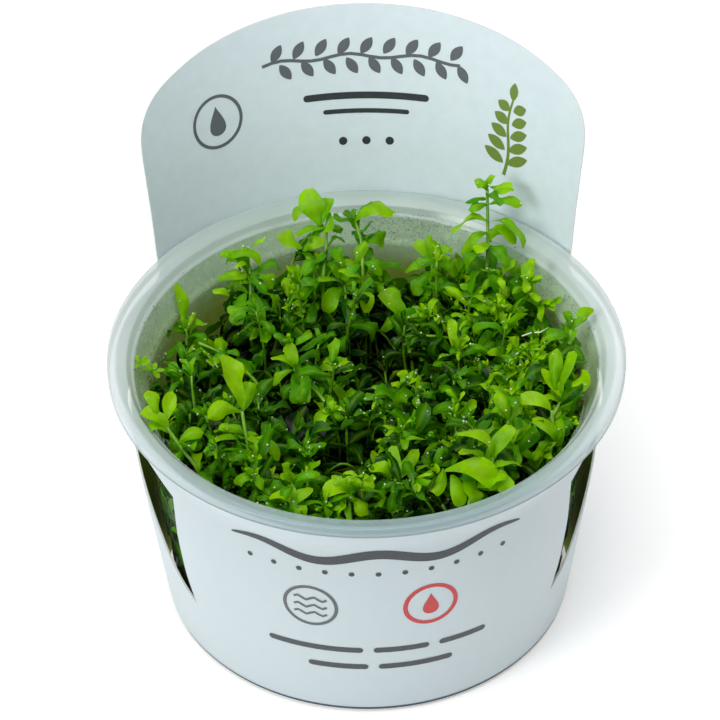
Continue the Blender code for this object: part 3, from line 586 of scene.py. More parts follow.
def turned(profile, sides):
    """Points and faces of a solid turned about Z. The profile runs from the axis round to the axis."""
    verts = [(0.0, 0.0, profile[0][1])]
    for r, h in profile[1:-1]:
        verts += [(*polar(r, 2.0 * math.pi * k / sides), h) for k in range(sides)]
    verts.append((0.0, 0.0, profile[-1][1]))
    rows = len(profile) - 2
    faces = []
    for k in range(sides):
        n = (k + 1) % sides
        faces.append((0, 1 + n, 1 + k))
        for j in range(rows - 1):
            low = 1 + j * sides
            faces.append((low + k, low + n, low + sides + n, low + sides + k))
        last = 1 + (rows - 1) * sides
        faces.append((last + k, last + n, len(verts) - 1))
    return verts, faces


def inner_radius(h):
    """The cup's inside radius at a height, up to its rim."""
    lower = [(z, r - WALL) for r, z in CUP_OUTSIDE if z < SHOULDER_H]
    upper = [(z, r) for r, z in reversed(RIM_INSIDE + SHOULDER_INSIDE)]
    return along(lower + upper + [(CUP_HEIGHT, FLANGE_R)], h)


def make_cup(wall, flange, edge):
    """The turned cup with rounded edges: clear wall, milky flange, and painted shade along the skirt's
    lower edge.
    """
    skirt_inner = FLANGE_R - WALL
    foot = CUP_HEIGHT - SKIRT_HEIGHT
    outside = CUP_OUTSIDE + [(skirt_inner, CUP_OUTSIDE[-1][1]), (skirt_inner, foot), (FLANGE_R, foot),
                             (FLANGE_R, foot + SHADE_LINE), (FLANGE_R, CUP_HEIGHT)]
    inside = [(r - WALL, h) for r, h in reversed(CUP_OUTSIDE) if FLOOR < h < SHOULDER_H]
    bottom = [(CUP_OUTSIDE[1][0] - WALL, FLOOR)]
    corners = [(0.0, 0.0)] + outside + RIM_INSIDE + SHOULDER_INSIDE + inside + bottom + [(0.0, FLOOR)]
    verts, faces = turned(rounded(corners, EDGE_ROUNDING), CUP_SIDES)
    cup = add_piece("culture_cup", verts, faces, [wall, flange, edge])
    for face in cup.data.polygons:
        r = math.hypot(face.center.x, face.center.y) / MM
        h = face.center.z / MM
        if h > FLANGE_FROM_H:
            face.material_index = 1
        # Painted shade: a dark band along the skirt's lower edge
        if r > SHADE_LINE_R and h < foot + SHADE_LINE:
            face.material_index = 2
    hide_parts("cup")


def sleeve_radius(azimuth, h):
    """Middle of the card: close to the cup in front, flaring past the flange behind."""
    front = along(FRONT_PROFILE, h)
    rear = REAR_BASE_R + REAR_FLARE * (h - SLEEVE_BOTTOM)
    share = step(REAR_STARTS, REAR_ENDS, abs(azimuth))
    return front + (rear - front) * share


def sleeve_point(azimuth, h, out=0.0):
    """A point on the sleeve, moved out from the middle of the card."""
    r = sleeve_radius(azimuth, h) + out
    return (r * math.sin(math.radians(azimuth)), -r * math.cos(math.radians(azimuth)), h)


def smooth_loop(points, corners, pieces=6):
    """A closed loop through points, curved except at the corners."""
    count = len(points)
    made = []
    for k in range(count):
        p1 = Vector(points[k])
        p2 = Vector(points[(k + 1) % count])
        p0 = p1 if k in corners else Vector(points[k - 1])
        p3 = p2 if (k + 1) % count in corners else Vector(points[(k + 2) % count])
        for j in range(pieces):
            made.append(tuple(curve_point(p0, p1, p2, p3, j / pieces)))
    return made


def header_outline():
    """The header's edge as (degrees from its middle, height), from its right foot over to its left."""
    points = HEADER_EDGE + [(0.0, HEADER_TOP_H)] + [(-a, h) for a, h in reversed(HEADER_EDGE)]
    pieces = 4
    curve = smooth_loop(points, (0, len(points) - 1), pieces)
    return curve[:pieces * (len(points) - 1)] + [points[-1]]


def sleeve_outline():
    """The flat card's outer edge as (azimuth, height), azimuth 0 in front and 180 behind."""
    seam = 180.0
    middle = seam - HEADER_TURN
    seam_gap = 0.4
    edge = header_outline()
    right = [(middle - a, h) for a, h in edge if a > seam_gap - HEADER_TURN]
    left = [(middle - a - 2.0 * seam, h) for a, h in edge if a < -seam_gap - HEADER_TURN]
    right_foot = right[0][0]
    left_foot = left[-1][0]
    fillet = [(0.3, 54.4), (1.0, 53.2), (2.2, 52.7)]
    columns = [-seam + 360.0 * k / SLEEVE_COLUMNS for k in range(SLEEVE_COLUMNS + 1)]
    bottom = [(a, SLEEVE_BOTTOM) for a in columns]
    top = [(a, SLEEVE_TOP) for a in reversed(columns) if left_foot + 3.0 < a < right_foot - 3.0]
    summit = 0.5 * (right[-1][1] + left[0][1])
    rows = [SLEEVE_BOTTOM + SLEEVE_ROW * k for k in range(1, int((summit - SLEEVE_BOTTOM) / SLEEVE_ROW))]
    rows.append(summit)
    loop = bottom + [(seam, h) for h in rows] + list(reversed(right))
    loop += [(right_foot - a, h) for a, h in fillet] + top
    loop += [(left_foot + a, h) for a, h in reversed(fillet)] + list(reversed(left))
    return loop + [(-seam, h) for h in reversed(rows)]


def inside_loop(point, loop):
    """Whether a point lies inside a closed loop of points."""
    inside = False
    for (x0, y0), (x1, y1) in zip(loop, loop[1:] + loop[:1]):
        if (y0 > point[1]) != (y1 > point[1]):
            if point[0] < x0 + (x1 - x0) * (point[1] - y0) / (y1 - y0):
                inside = not inside
    return inside


def near_loop(point, loop, reach):
    """Whether a point lies nearer than a distance to a closed loop."""
    px, py = point
    for (x0, y0), (x1, y1) in zip(loop, loop[1:] + loop[:1]):
        run = (x1 - x0) ** 2 + (y1 - y0) ** 2
        t = min(max(((px - x0) * (x1 - x0) + (py - y0) * (y1 - y0)) / max(run, 1e-9), 0.0), 1.0)
        if (x0 + (x1 - x0) * t - px) ** 2 + (y0 + (y1 - y0) * t - py) ** 2 < reach * reach:
            return True
    return False


def flat_fill(outer, holes, grid, reach):
    """Triangles that fill a flat outline with holes, with a grid of points inside."""
    points = []
    edges = []
    for loop in [outer] + holes:
        start = len(points)
        points += loop
        edges += [(start + k, start + (k + 1) % len(loop)) for k in range(len(loop))]
    for p in grid:
        if not inside_loop(p, outer) or any(inside_loop(p, h) for h in holes):
            continue
        if not any(near_loop(p, loop, reach) for loop in [outer] + holes):
            points.append(p)
    made, _, triangles, *_ = delaunay_2d_cdt([Vector(p) for p in points], edges, [], 0, 0.0005)
    kept = []
    for triangle in triangles:
        middle = sum((made[k] for k in triangle), Vector((0.0, 0.0))) / len(triangle)
        if inside_loop(middle, outer) and not any(inside_loop(middle, h) for h in holes):
            kept.append(triangle)
    return made, kept


def make_sleeve(face, inner, edge):
    """The die-cut card wrapped round the cup."""
    outline = sleeve_outline()
    windows = []
    for sign in (1.0, -1.0):
        windows.append([(sign * a, h) for a, h in smooth_loop(WINDOW, WINDOW_CORNERS)])
    grid = []
    for k in range(1, SLEEVE_COLUMNS):
        a = -180.0 + 360.0 * k / SLEEVE_COLUMNS
        rows = [SLEEVE_BOTTOM + SLEEVE_ROW * j for j in range(1, int(HEADER_TOP_H / SLEEVE_ROW))]
        rows = [h for h in rows if not KINK_ROWS[0] - 1.0 < h < SLEEVE_TOP + 0.5]
        grid += [(a, h) for h in rows]
        grid += [(a, h) for h in KINK_ROWS]
    flat, faces = flat_fill(outline, windows, grid, 0.9)
    verts = [sleeve_point(a, h) for a, h in flat]
    obj = add_piece("card_sleeve", verts, faces, [face, inner, edge])
    work = bmesh.new()
    work.from_mesh(obj.data)
    bmesh.ops.remove_doubles(work, verts=work.verts, dist=0.02 * MM)
    loose = [v for v in work.verts if not v.link_faces]
    bmesh.ops.delete(work, geom=loose, context="VERTS")
    bmesh.ops.recalc_face_normals(work, faces=work.faces)
    for f in work.faces:
        middle = f.calc_center_median()
        if f.normal.x * middle.x + f.normal.y * middle.y < 0.0:
            f.normal_flip()
    work.to_mesh(obj.data)
    work.free()
    thick = obj.modifiers.new("card", "SOLIDIFY")
    thick.thickness = CARD * MM
    thick.offset = 0.0
    thick.material_offset = 1
    thick.material_offset_rim = 2
    thick.use_even_offset = True
    bpy.context.view_layer.update()
    solid = bpy.data.meshes.new_from_object(obj.evaluated_get(bpy.context.evaluated_depsgraph_get()))
    obj.modifiers.clear()
    obj.data = solid
    solid.set_sharp_from_angle(angle=math.radians(40.0))
    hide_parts("label_sleeve")


# Print: simple shapes in flat millimetres, laid on the card


def bar(x, y, width, height):
    """A bar with round ends."""
    r = height / 2.0
    loop = []
    for centre, turn in ((width / 2.0 - r, -90.0), (r - width / 2.0, 90.0)):
        for k in range(9):
            a = math.radians(turn + 22.5 * k)
            loop.append((x + centre + r * math.cos(a), y + r * math.sin(a)))
    steps = max(1, int((width - height) / 2.0))
    top = [(x + width / 2.0 - r - (width - height) * k / steps, y + r) for k in range(1, steps)]
    low = [(x - width / 2.0 + r + (width - height) * k / steps, y - r) for k in range(1, steps)]
    return loop[:9] + top + loop[9:] + low, []


def ring(x, y, outer, inner):
    """A round outline, or a dot where inner is 0."""
    count = 36
    loops = []
    for r in (outer, inner):
        spots = [polar(r, 2.0 * math.pi * k / count) for k in range(count)]
        loops.append([(x + u, y + v) for u, v in spots])
    return loops[0], [loops[1]] if inner else []


def petal(x, y, length, width, angle):
    """A leaf shape that starts at a point and runs out at an angle."""
    loop = []
    steps = 10
    ca = math.cos(math.radians(angle))
    sa = math.sin(math.radians(angle))
    for sign in (1.0, -1.0):
        for k in range(steps):
            t = k / steps if sign > 0.0 else 1.0 - k / steps
            out = sign * width / 2.0 * math.sin(math.pi * t) ** 0.8
            loop.append((x + length * t * ca - out * sa, y + length * t * sa + out * ca))
    return loop, []


def drop(x, y, size):
    """A water drop standing on its round end."""
    loop = []
    count = 28
    for k in range(count):
        a = 2.0 * math.pi * k / count
        narrow = math.sin(a / 2.0) ** 1.6
        loop.append((x + 0.5 * size * math.sin(a) * narrow, y + 0.6 * size * math.cos(a)))
    return loop, []


def ribbon(points, widths):
    """A band of changing width along a list of points."""
    left = []
    right = []
    for k, (x, y) in enumerate(points):
        ahead = Vector(points[min(k + 1, len(points) - 1)]) - Vector(points[max(k - 1, 0)])
        ahead.normalize()
        half = widths[k] / 2.0
        left.append((x - ahead.y * half, y + ahead.x * half))
        right.append((x + ahead.y * half, y - ahead.x * half))
    return left + list(reversed(right)), []


def lay_print(name, shapes, finish, place):
    """Prints flat shapes on the card. place turns a flat point into a point in space."""
    verts = []
    faces = []
    pitch = 1.2
    for outer, holes in shapes:
        low = [min(p[k] for p in outer) for k in (0, 1)]
        high = [max(p[k] for p in outer) for k in (0, 1)]
        grid = [(low[0] + pitch * i, low[1] + pitch * j)
                for i in range(1, int((high[0] - low[0]) / pitch) + 1)
                for j in range(1, int((high[1] - low[1]) / pitch) + 1)]
        flat, triangles = flat_fill(outer, holes, grid, 0.35)
        start = len(verts)
        verts += [place(x, y) for x, y in flat]
        faces += [tuple(start + k for k in triangle) for triangle in triangles]
    add_piece(name, verts, faces, [finish])


def on_front(x, h):
    """A point of the front panel's print."""
    return sleeve_point(math.degrees(x / PRINT_FRONT_R), h, CARD / 2.0 + INK_LIFT)


def on_header(x, h):
    """A point of the header's print, on the side that faces the cup."""
    azimuth = 180.0 - HEADER_TURN - math.degrees(x / PRINT_HEADER_R)
    return sleeve_point(azimuth, h, -CARD / 2.0 - INK_LIFT)


def make_front_print():
    """A wave, two round emblems and rows of bars on the front panel."""
    grey = ink("ink_grey", linear(84, 90, 96))
    dark = ink("ink_dark", linear(52, 58, 64))
    red = ink("ink_red", linear(186, 44, 44))
    steps = 60
    wave = [(-29.0 + 58.0 * k / steps, 44.6 + 1.1 * math.sin(5.0 * math.pi * k / steps))
            for k in range(steps + 1)]
    widths = [0.3 + 1.9 * math.sin(math.pi * k / steps) ** 0.6 for k in range(steps + 1)]
    shapes = [ribbon(wave, widths)]
    shapes += [ring(-25.0 + 5.0 * k, 40.6, 0.55, 0.0) for k in range(11)]
    lay_print("front_wave", shapes, dark, on_front)
    shapes = [ring(-13.0, 31.0, 5.4, 4.7)]
    for k in range(3):
        line = [(-16.2 + 0.8 * j, 29.0 + 2.0 * k + 0.45 * math.sin(1.6 * j)) for j in range(9)]
        shapes.append(ribbon(line, [0.55] * 9))
    lay_print("front_ring", shapes, grey, on_front)
    shapes = [ring(10.0, 31.0, 5.4, 4.5), drop(10.0, 31.2, 4.6)]
    lay_print("front_drop", shapes, red, on_front)
    shapes = [bar(-12.5, 19.4, 19.0, 1.5), bar(4.5, 19.4, 11.0, 1.5), bar(17.0, 19.4, 10.0, 1.5),
              bar(-8.0, 14.4, 12.0, 1.5), bar(7.5, 14.4, 15.0, 1.5)]
    lay_print("front_bars", shapes, dark, on_front)
    # A thin navy band along the card's lower edge, thinning out towards both ends
    navy = ink("navy_base_line", linear(26, 54, 86))
    span = [(-50.0 + 100.0 * k / steps, SLEEVE_BOTTOM + 0.3) for k in range(steps + 1)]
    widths = [0.06 + 0.5 * math.sin(math.pi * k / steps) ** 0.7 for k in range(steps + 1)]
    lay_print("front_base_line", [ribbon(span, widths)], navy, on_front)


def make_header_print():
    """A garland of leaves, rules, a round drop emblem and a green sprig on the header."""
    grey = ink("ink_garland", linear(92, 99, 105))
    dark = ink("ink_rules", linear(46, 52, 58))
    green = ink("ink_sprig", linear(112, 138, 52))
    stalk = [(-20.0 + 40.0 * k / 20.0, 87.2 + 0.5 * math.sin(0.9 * k)) for k in range(21)]
    shapes = [ribbon(stalk, [0.7] * 21)]
    for k in range(9):
        x = -18.0 + 4.5 * k
        shapes.append(petal(x, 87.6, 4.2, 2.1, 58.0))
        shapes.append(petal(x + 1.6, 86.9, 4.2, 2.1, -58.0))
    lay_print("header_garland", shapes, grey, on_header)
    shapes = [bar(1.0, 78.6, 26.0, 1.5), bar(1.0, 75.2, 18.0, 1.0),
              ring(-4.0, 68.6, 0.9, 0.0), ring(1.0, 68.6, 0.9, 0.0), ring(6.0, 68.6, 0.9, 0.0)]
    lay_print("header_rules", shapes, dark, on_header)
    shapes = [ring(-31.0, 78.5, 5.8, 5.1), drop(-31.0, 78.7, 5.4)]
    lay_print("header_drop", shapes, grey, on_header)
    stalk = [(32.0 + 0.5 * math.sin(0.5 * k), 66.0 + 1.3 * k) for k in range(14)]
    shapes = [ribbon(stalk, [0.8 - 0.03 * k for k in range(14)]), petal(32.0, 82.4, 4.0, 1.9, 90.0)]
    for k in range(5):
        y = 68.6 + 2.9 * k
        size = 5.4 - 0.55 * k
        shapes.append(petal(32.4, y, size, 2.3, 28.0))
        shapes.append(petal(31.6, y, size, 2.3, 152.0))
    lay_print("header_sprig", shapes, green, on_header)


def make_gel(finish):
    """The gel, its surface drawn up a little at the wall."""
    r_low = inner_radius(GEL_BOTTOM_H) - 0.3
    r_high = inner_radius(GEL_TOP_H) - 0.3
    profile = [(0.0, GEL_BOTTOM_H), (r_low - 1.0, GEL_BOTTOM_H), (r_low, GEL_BOTTOM_H + 1.0),
               (r_high, GEL_TOP_H), (r_high - 0.8, GEL_TOP_H - 0.3), (r_high - 2.5, GEL_TOP_H - 0.5),
               (0.0, GEL_TOP_H - 0.5)]
    verts, faces = turned(rounded(profile, 0.6), 96)
    obj = add_piece("gel", verts, faces, [finish])
    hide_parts("culture_gel")


# Growth


def canopy(x, y):
    """Height of the lower growth's top: lumpy, with hollows and swells."""
    r = math.hypot(x, y)
    lumps = (1.5 * math.sin(0.42 * x + 1.3) * math.cos(0.37 * y - 0.6)
             + 1.1 * math.sin(0.71 * y + 0.31 * x + 2.0)
             + 0.8 * math.cos(0.93 * x - 0.58 * y))
    swell = 0.0
    for at_x, at_y, rise, spread in SWELLS:
        swell += rise * math.exp(-((x - at_x) ** 2 + (y - at_y) ** 2) / spread ** 2)
    return CANOPY_H + CANOPY_RISE * (r / OUTER_FEET_R) ** 2 - CANOPY_TILT * y + lumps + swell


def clump_of(x, y):
    """The clump that a place belongs to."""
    r = math.hypot(x, y)
    number = 0
    for ring, (low, high, count) in enumerate(RINGS):
        if low <= r < (high or 99.0):
            turn = math.atan2(y, x) / (2.0 * math.pi) * count - 0.5 * ring
            return number + int(math.floor(turn)) % count
        number += count
    return 0


class Growth:
    """The leaves and stems of one clump, collected and then made into one mesh."""

    def __init__(self):
        # A leaf's base (x, y, z), heading, rise, length, width, curl, bend, roll, twist, fold, wave,
        # tongue and its darkness from age and painted shade
        self.leaves = []
        # A drawn leaf's points and its age
        self.drawn = []
        # A stem's path and its radii
        self.stems = []


def leaf_places():
    """Where a leaf's rows lie along it, closer together towards the tip, and its columns across it."""
    t = np.linspace(0.0, 1.0, LEAF_ROWS)
    return 1.0 - (1.0 - t) ** TIP_CROWDING, np.linspace(-1.0, 1.0, LEAF_COLUMNS)


def half_widths(s, tongue):
    """Half of a leaf's width along it, between a pointed oval (0) and a blunt tongue (1)."""
    oval = s ** 0.8 * (1.0 - s) ** 0.62 / 0.41
    blunt = s ** 0.75 * (1.0 - s) ** 0.3 / 0.533
    half = oval * (1.0 - tongue) + blunt * tongue
    return np.maximum(half, np.where(s < 0.5, 0.15, 0.05))


def blade(centre, side, normal, half, w, fold, ripple):
    """Points across a leaf from its centre line."""
    spread = half[..., None] * (1.0 + 0.35 * ripple)
    lift = (fold * np.abs(w) ** 1.6 + ripple) * spread
    return (centre[..., None, :] + side[..., None, :] * (spread * w)[..., None]
            + normal[..., None, :] * lift[..., None])


def leaf_arrays(leaves):
    """Points of many leaves at once, in rows along and columns across each leaf."""
    data = np.array(leaves)
    base = data[:, 0:3]
    heading, rise, length, width, curl, bend, roll, twist, fold, wave, tongue = data[:, 3:14].T
    s, w = leaf_places()
    half = half_widths(s[None, :], tongue[:, None]) * width[:, None] * 0.5
    theta = rise[:, None] - curl[:, None] * s[None, :] ** 1.4
    yaw = heading[:, None] + bend[:, None] * s[None, :]
    flat = np.stack([np.cos(yaw), np.sin(yaw), np.zeros_like(yaw)], axis=-1)
    up = np.array([0.0, 0.0, 1.0])
    tangent = flat * np.cos(theta)[..., None] + up * np.sin(theta)[..., None]
    normal = -flat * np.sin(theta)[..., None] + up * np.cos(theta)[..., None]
    side = np.cross(normal, tangent)
    tilt = (roll[:, None] + twist[:, None] * s[None, :])[..., None]
    side, normal = (side * np.cos(tilt) + normal * np.sin(tilt),
                    normal * np.cos(tilt) - side * np.sin(tilt))
    ahead = 0.5 * (tangent[:, 1:] + tangent[:, :-1]) * np.diff(s)[None, :, None] * length[:, None, None]
    start = np.zeros_like(base)[:, None, :]
    centre = base[:, None, :] + np.concatenate([start, np.cumsum(ahead, axis=1)], axis=1)
    phase = 40.0 * heading[:, None, None]
    along_edge = LEAF_RIPPLES * s[None, :, None] + 2.4 * np.sign(w) + phase
    ripple = wave[:, None, None] * np.abs(w) * np.sin(along_edge)
    return blade(centre, side, normal, half, w[None, None, :], fold[:, None, None], ripple)


def drawn_leaf(base, tip, width, bow, axes, rng):
    """Points of a leaf that runs from its base to its tip and bows up out of its chord."""
    s, w = leaf_places()
    chord = tip - base
    ahead = chord.normalized()
    lean = rng.uniform(-0.35, 0.35)
    out = axes.col[1] * 0.85 + axes.col[2] * 0.75 + axes.col[0] * lean
    out = (out - ahead * out.dot(ahead)).normalized()
    side = out.cross(ahead)
    arch = 4.0 * bow * s * (1.0 - s) - rng.uniform(0.0, 0.25) * chord.length * s ** 4
    base, chord, out, side = (np.array(v[:]) for v in (base, chord, out, side))
    centre = base + chord * s[:, None] + out * arch[:, None]
    tangent = chord + out * (4.0 * bow * (1.0 - 2.0 * s))[:, None]
    tangent /= np.linalg.norm(tangent, axis=1)[:, None]
    normal = np.cross(tangent, side)
    normal *= np.sign(np.sum(normal * out, axis=1))[:, None]
    tilt = (rng.uniform(-0.4, 0.4) + rng.uniform(-0.5, 0.5) * s)[:, None]
    turned_side = side * np.cos(tilt) + normal * np.sin(tilt)
    normal = normal * np.cos(tilt) - side * np.sin(tilt)
    half = half_widths(s, rng.uniform(0.4, 1.0)) * width * 0.5
    ripple = (rng.uniform(0.15, 0.45) * np.abs(w)
              * np.sin(rng.uniform(6.0, 11.0) * s[:, None] + 2.4 * np.sign(w) + rng.uniform(0.0, 6.0)))
    return blade(centre, turned_side, normal, half, w[None, :], rng.uniform(-0.8, 0.5), ripple)


def leaf_faces(count):
    """Faces of many leaves with the same rows and columns."""
    one = []
    for i in range(LEAF_ROWS - 1):
        for j in range(LEAF_COLUMNS - 1):
            a = i * LEAF_COLUMNS + j
            one.append((a, a + 1, a + LEAF_COLUMNS + 1, a + LEAF_COLUMNS))
    one = np.array(one)
    shift = np.arange(count)[:, None, None] * (LEAF_ROWS * LEAF_COLUMNS)
    return (one[None] + shift).reshape(-1, 4)


def tube(points, radii, sides):
    """Points and faces of a round tube along a list of points, closed at its ends."""
    verts = []
    faces = []
    for k, (p, radius) in enumerate(zip(points, radii)):
        ahead = points[min(k + 1, len(points) - 1)] - points[max(k - 1, 0)]
        ahead.normalize()
        side = ahead.cross(Vector((0.37, 0.91, 0.17))).normalized()
        other = ahead.cross(side)
        for j in range(sides):
            a = 2.0 * math.pi * j / sides
            verts.append(tuple(p + side * (radius * math.cos(a)) + other * (radius * math.sin(a))))
    for k in range(len(points) - 1):
        for j in range(sides):
            n = (j + 1) % sides
            low = k * sides
            faces.append((low + j, low + n, low + sides + n, low + sides + j))
    faces.append(tuple(reversed(range(sides))))
    faces.append(tuple((len(points) - 1) * sides + j for j in range(sides)))
    return verts, faces


def keeps_inside(base, heading, rise, length, curl):
    """Whether a leaf stays clear of the cup's wall and the card."""
    for t in (0.5, 0.8, 1.0):
        angle = rise - curl * t ** 1.5 * 0.5
        x = base.x + math.cos(heading) * math.cos(angle) * length * t
        y = base.y + math.sin(heading) * math.cos(angle) * length * t
        z = base.z + math.sin(angle) * length * t
        r = math.hypot(x, y)
        if z < CUP_HEIGHT + 0.8 and r > inner_radius(min(z, CUP_HEIGHT - 1.5)) - WALL_CLEAR:
            return False
        if r > FLANGE_R - 1.0:
            return False
    return True


def add_leaf(growth, rng, base, heading, rise, length, width, curl, age_and_shade):
    """Adds a leaf, turned away from the wall where it would pass through it."""
    for turn in (0.0, 0.6, -0.6, 1.2, -1.2, 1.9, -1.9, 3.1):
        if keeps_inside(base, heading + turn, rise, length, curl):
            heading += turn
            break
    else:
        length *= 0.6
        rise = max(rise, 1.1)
        heading = math.atan2(-base.y, -base.x)
    bend = rng.gauss(0.0, 0.6)
    roll = rng.gauss(0.0, 0.4)
    twist = rng.gauss(0.0, 0.9)
    fold = rng.uniform(*LEAF_FOLD)
    wave = rng.uniform(*LEAF_WAVE)
    tongue = rng.uniform(0.1, 1.0)
    age_and_shade = min(max(age_and_shade + rng.gauss(0.0, 0.08), 0.0), 1.0)
    if math.hypot(base.x, base.y) < UNSEEN_R and base.z < canopy(base.x, base.y) - UNSEEN_DEPTH:
        return
    growth.leaves.append((*base, heading, rise, length, width, curl, bend, roll, twist, fold, wave,
                          tongue, age_and_shade))


def grow_shoot(growth, rng, start, tip, heading, leaf_length, youth, gap, hook=0.0):
    """A stem from its foot to its tip, with a tuft of young leaves and pairs or threes below it."""
    stiff = Vector((start.x, start.y, start.z + 0.7 * (tip.z - start.z)))
    sway = Vector((rng.gauss(0, 2.4), rng.gauss(0, 2.4), 0.0))
    lean = Vector((tip.x - start.x, tip.y - start.y, 0.0))

    def at(t):
        wiggle = sway * math.sin(6.0 * t + start.x)
        droop = (lean * 0.25 - Vector((0.0, 0.0, 1.0))) * (hook * t ** 5)
        curve = start * (1 - t) ** 2 + stiff * 2 * t * (1 - t) + tip * t ** 2
        return curve + wiggle * t * (1 - t) + droop

    reach = (tip - start).length
    pieces = max(8, int(reach / 2.5))
    points = [at(k / pieces) for k in range(pieces + 1)]
    thick = rng.uniform(0.34, 0.48)
    growth.stems.append((points, [thick * (1.0 - 0.4 * k / pieces) for k in range(pieces + 1)]))
    turn = heading
    down = 0.0
    level = 0
    while True:
        t = 1.0 - down / reach
        base = at(max(t, 0.0))
        if t < 0.05 or base.z < LOWEST_LEAF_H:
            break
        axis = (at(min(t + 0.02, 1.0)) - at(t - 0.02)).normalized()
        side = axis.cross(Vector((0.31, 0.95, 0.02))).normalized()
        front = side.cross(axis)
        share, rise, curl = (table[min(level, 4)] for table in (LEVEL_SHARE, LEVEL_RISE, LEVEL_CURL))
        count = rng.choice((2, 3, 3, 4))
        top = canopy(base.x, base.y)
        # Painted shade: leaves deep under the canopy's top and in its hollows are made darker; the level
        # adds real age
        depth = max(0.0, top + 3.0 - base.z) + 0.7 * max(0.0, CANOPY_H - top)
        # Painted light: lighter to the right and to the back
        age_and_shade = youth + 0.08 * level + 0.05 * depth - PAINTED_LIGHT_SLOPE_X * base.x - PAINTED_LIGHT_SLOPE_Y * base.y
        age_and_shade = min(OLDEST_LEAF, max(0.0, age_and_shade))
        for k in range(count):
            length = leaf_length * share * rng.uniform(*LEAF_LENGTH)
            width = length * rng.uniform(*LEAF_WIDTH)
            around = turn + 2.0 * math.pi * k / count + rng.gauss(0.0, 0.25)
            up = rise + rng.gauss(0.0, 0.28)
            out = front * math.cos(around) + side * math.sin(around)
            way = out * math.cos(up) + axis * math.sin(up)
            add_leaf(growth, rng, base, math.atan2(way.y, way.x), math.asin(min(max(way.z, -1.0), 1.0)),
                     length, width, curl * rng.uniform(*LEAF_CURL), age_and_shade)
        turn += math.pi / count + rng.uniform(-0.3, 0.3)
        down += TUFT_STEPS[level] if level < len(TUFT_STEPS) else gap * rng.uniform(0.7, 1.4)
        level += 1


def grow_wall_leaf(growth, rng, azimuth):
    """A leaf pressed flat against the inside of the cup's wall."""
    h = rng.uniform(10.5, canopy(*polar(39.0, azimuth)) - 1.0)
    r = inner_radius(h) - rng.uniform(0.4, 2.6)
    length = rng.uniform(*WALL_LEAF)
    base = Vector((*polar(r, azimuth), h - 0.3 * length))
    way = rng.choice((-1.0, 1.0))
    rise = rng.uniform(-0.2, 1.4)
    flat = math.pi / 2.0 * way + rng.gauss(0.0, 0.25)
    growth.leaves.append((*base, azimuth + way * math.pi / 2.0, rise, length,
                          length * rng.uniform(0.42, 0.58), 0.0, way * 0.12, flat, rng.gauss(0.0, 0.15),
                          rng.uniform(0.0, 0.25), 0.1, rng.uniform(0.3, 1.0), rng.uniform(0.15, 0.7)))


def grow_hero(growth, rng, at, foot, stem, leaves, axes):
    """A shoot drawn leaf by leaf: its stem down to the gel, and each of its leaves."""
    top = Vector(at)

    def place(right, up, out=0.0):
        return top + axes.col[0] * right + axes.col[1] * up + axes.col[2] * out

    path = [place(*p) for p in stem]
    root = Vector((*foot, ROOTED_H))
    path += [path[-1].lerp(root, 0.35), path[-1].lerp(root, 0.7), root]
    path = smooth_path(path, 4)
    growth.stems.append((path, [0.34 + 0.16 * k / len(path) for k in range(len(path))]))
    for u, v, tip_u, tip_v, tip_out, width, bow, age_and_shade in leaves:
        points = drawn_leaf(place(u, v, 0.2), place(tip_u, tip_v, tip_out), width, bow, axes, rng)
        growth.drawn.append((points, age_and_shade))
    for u, v in stem[1:]:
        for k in range(3):
            add_leaf(growth, rng, place(u, v + rng.uniform(-0.6, 0.6)), rng.uniform(0.0, 2.0 * math.pi),
                     rng.uniform(0.2, 1.2), rng.uniform(4.6, 7.4), rng.uniform(2.0, 3.2),
                     rng.uniform(0.8, 3.0), rng.uniform(0.12, 0.3))


def smooth_path(points, pieces):
    """A smooth line through points."""
    made = []
    last = len(points) - 1
    for k in range(last):
        four = [points[min(max(k + step_on, 0), last)] for step_on in (-1, 0, 1, 2)]
        made += [curve_point(*four, j / pieces) for j in range(pieces)]
    return made + [points[-1].copy()]


def grow_arch(growth, rng, x, y):
    """A thin pale stem that arches over a gap between the shoots."""
    way = rng.uniform(0.0, 2.0 * math.pi)
    reach = rng.uniform(7.0, 14.0)
    start = Vector((x, y, canopy(x, y) - 5.0))
    end = start + Vector((*polar(reach, way), rng.uniform(-9.0, 1.0)))
    if math.hypot(end.x, end.y) > OUTER_FEET_R:
        end = Vector((0.6 * x, 0.6 * y, end.z))
    middle = 0.5 * (start + end) + Vector((0.0, 0.0, rng.uniform(3.0, 6.0)))
    foot = Vector((x, y, start.z - 8.0))
    path = smooth_path([foot, start, middle, end], 5)
    growth.stems.append((path, [0.34 - 0.12 * k / len(path) for k in range(len(path))]))
    for k in range(3):
        add_leaf(growth, rng, end, way + 2.1 * k, 0.6, rng.uniform(2.6, 4.4), rng.uniform(1.2, 1.9),
                 1.2, 0.12)


def grow_fragment(growth, rng, x, y, h):
    """A loose bit of a shoot's tip that sticks to the wall."""
    for k in range(6):
        growth.leaves.append((x, y, h, 2.0 * math.pi * k / 6.0, rng.uniform(0.2, 1.1),
                              rng.uniform(1.8, 2.8), rng.uniform(0.8, 1.2), 0.6, 0.0, 0.0, 0.3, -0.2,
                              0.1, 0.3, FRAGMENT_AGE))


def held_in(points):
    """Points that would pass through the wall, pressed flat against it."""
    heights = np.linspace(0.0, CUP_HEIGHT, 117)
    limits = np.array([inner_radius(h) for h in heights]) - WALL_TOUCH
    r = np.hypot(points[:, 0], points[:, 1])
    limit = np.where(points[:, 2] > CUP_HEIGHT, FLANGE_R - 1.0, np.interp(points[:, 2], heights, limits))
    squeeze = np.minimum(1.0, limit / np.maximum(r, 1e-6))
    return points * np.stack([squeeze, squeeze, np.ones_like(squeeze)], axis=-1)


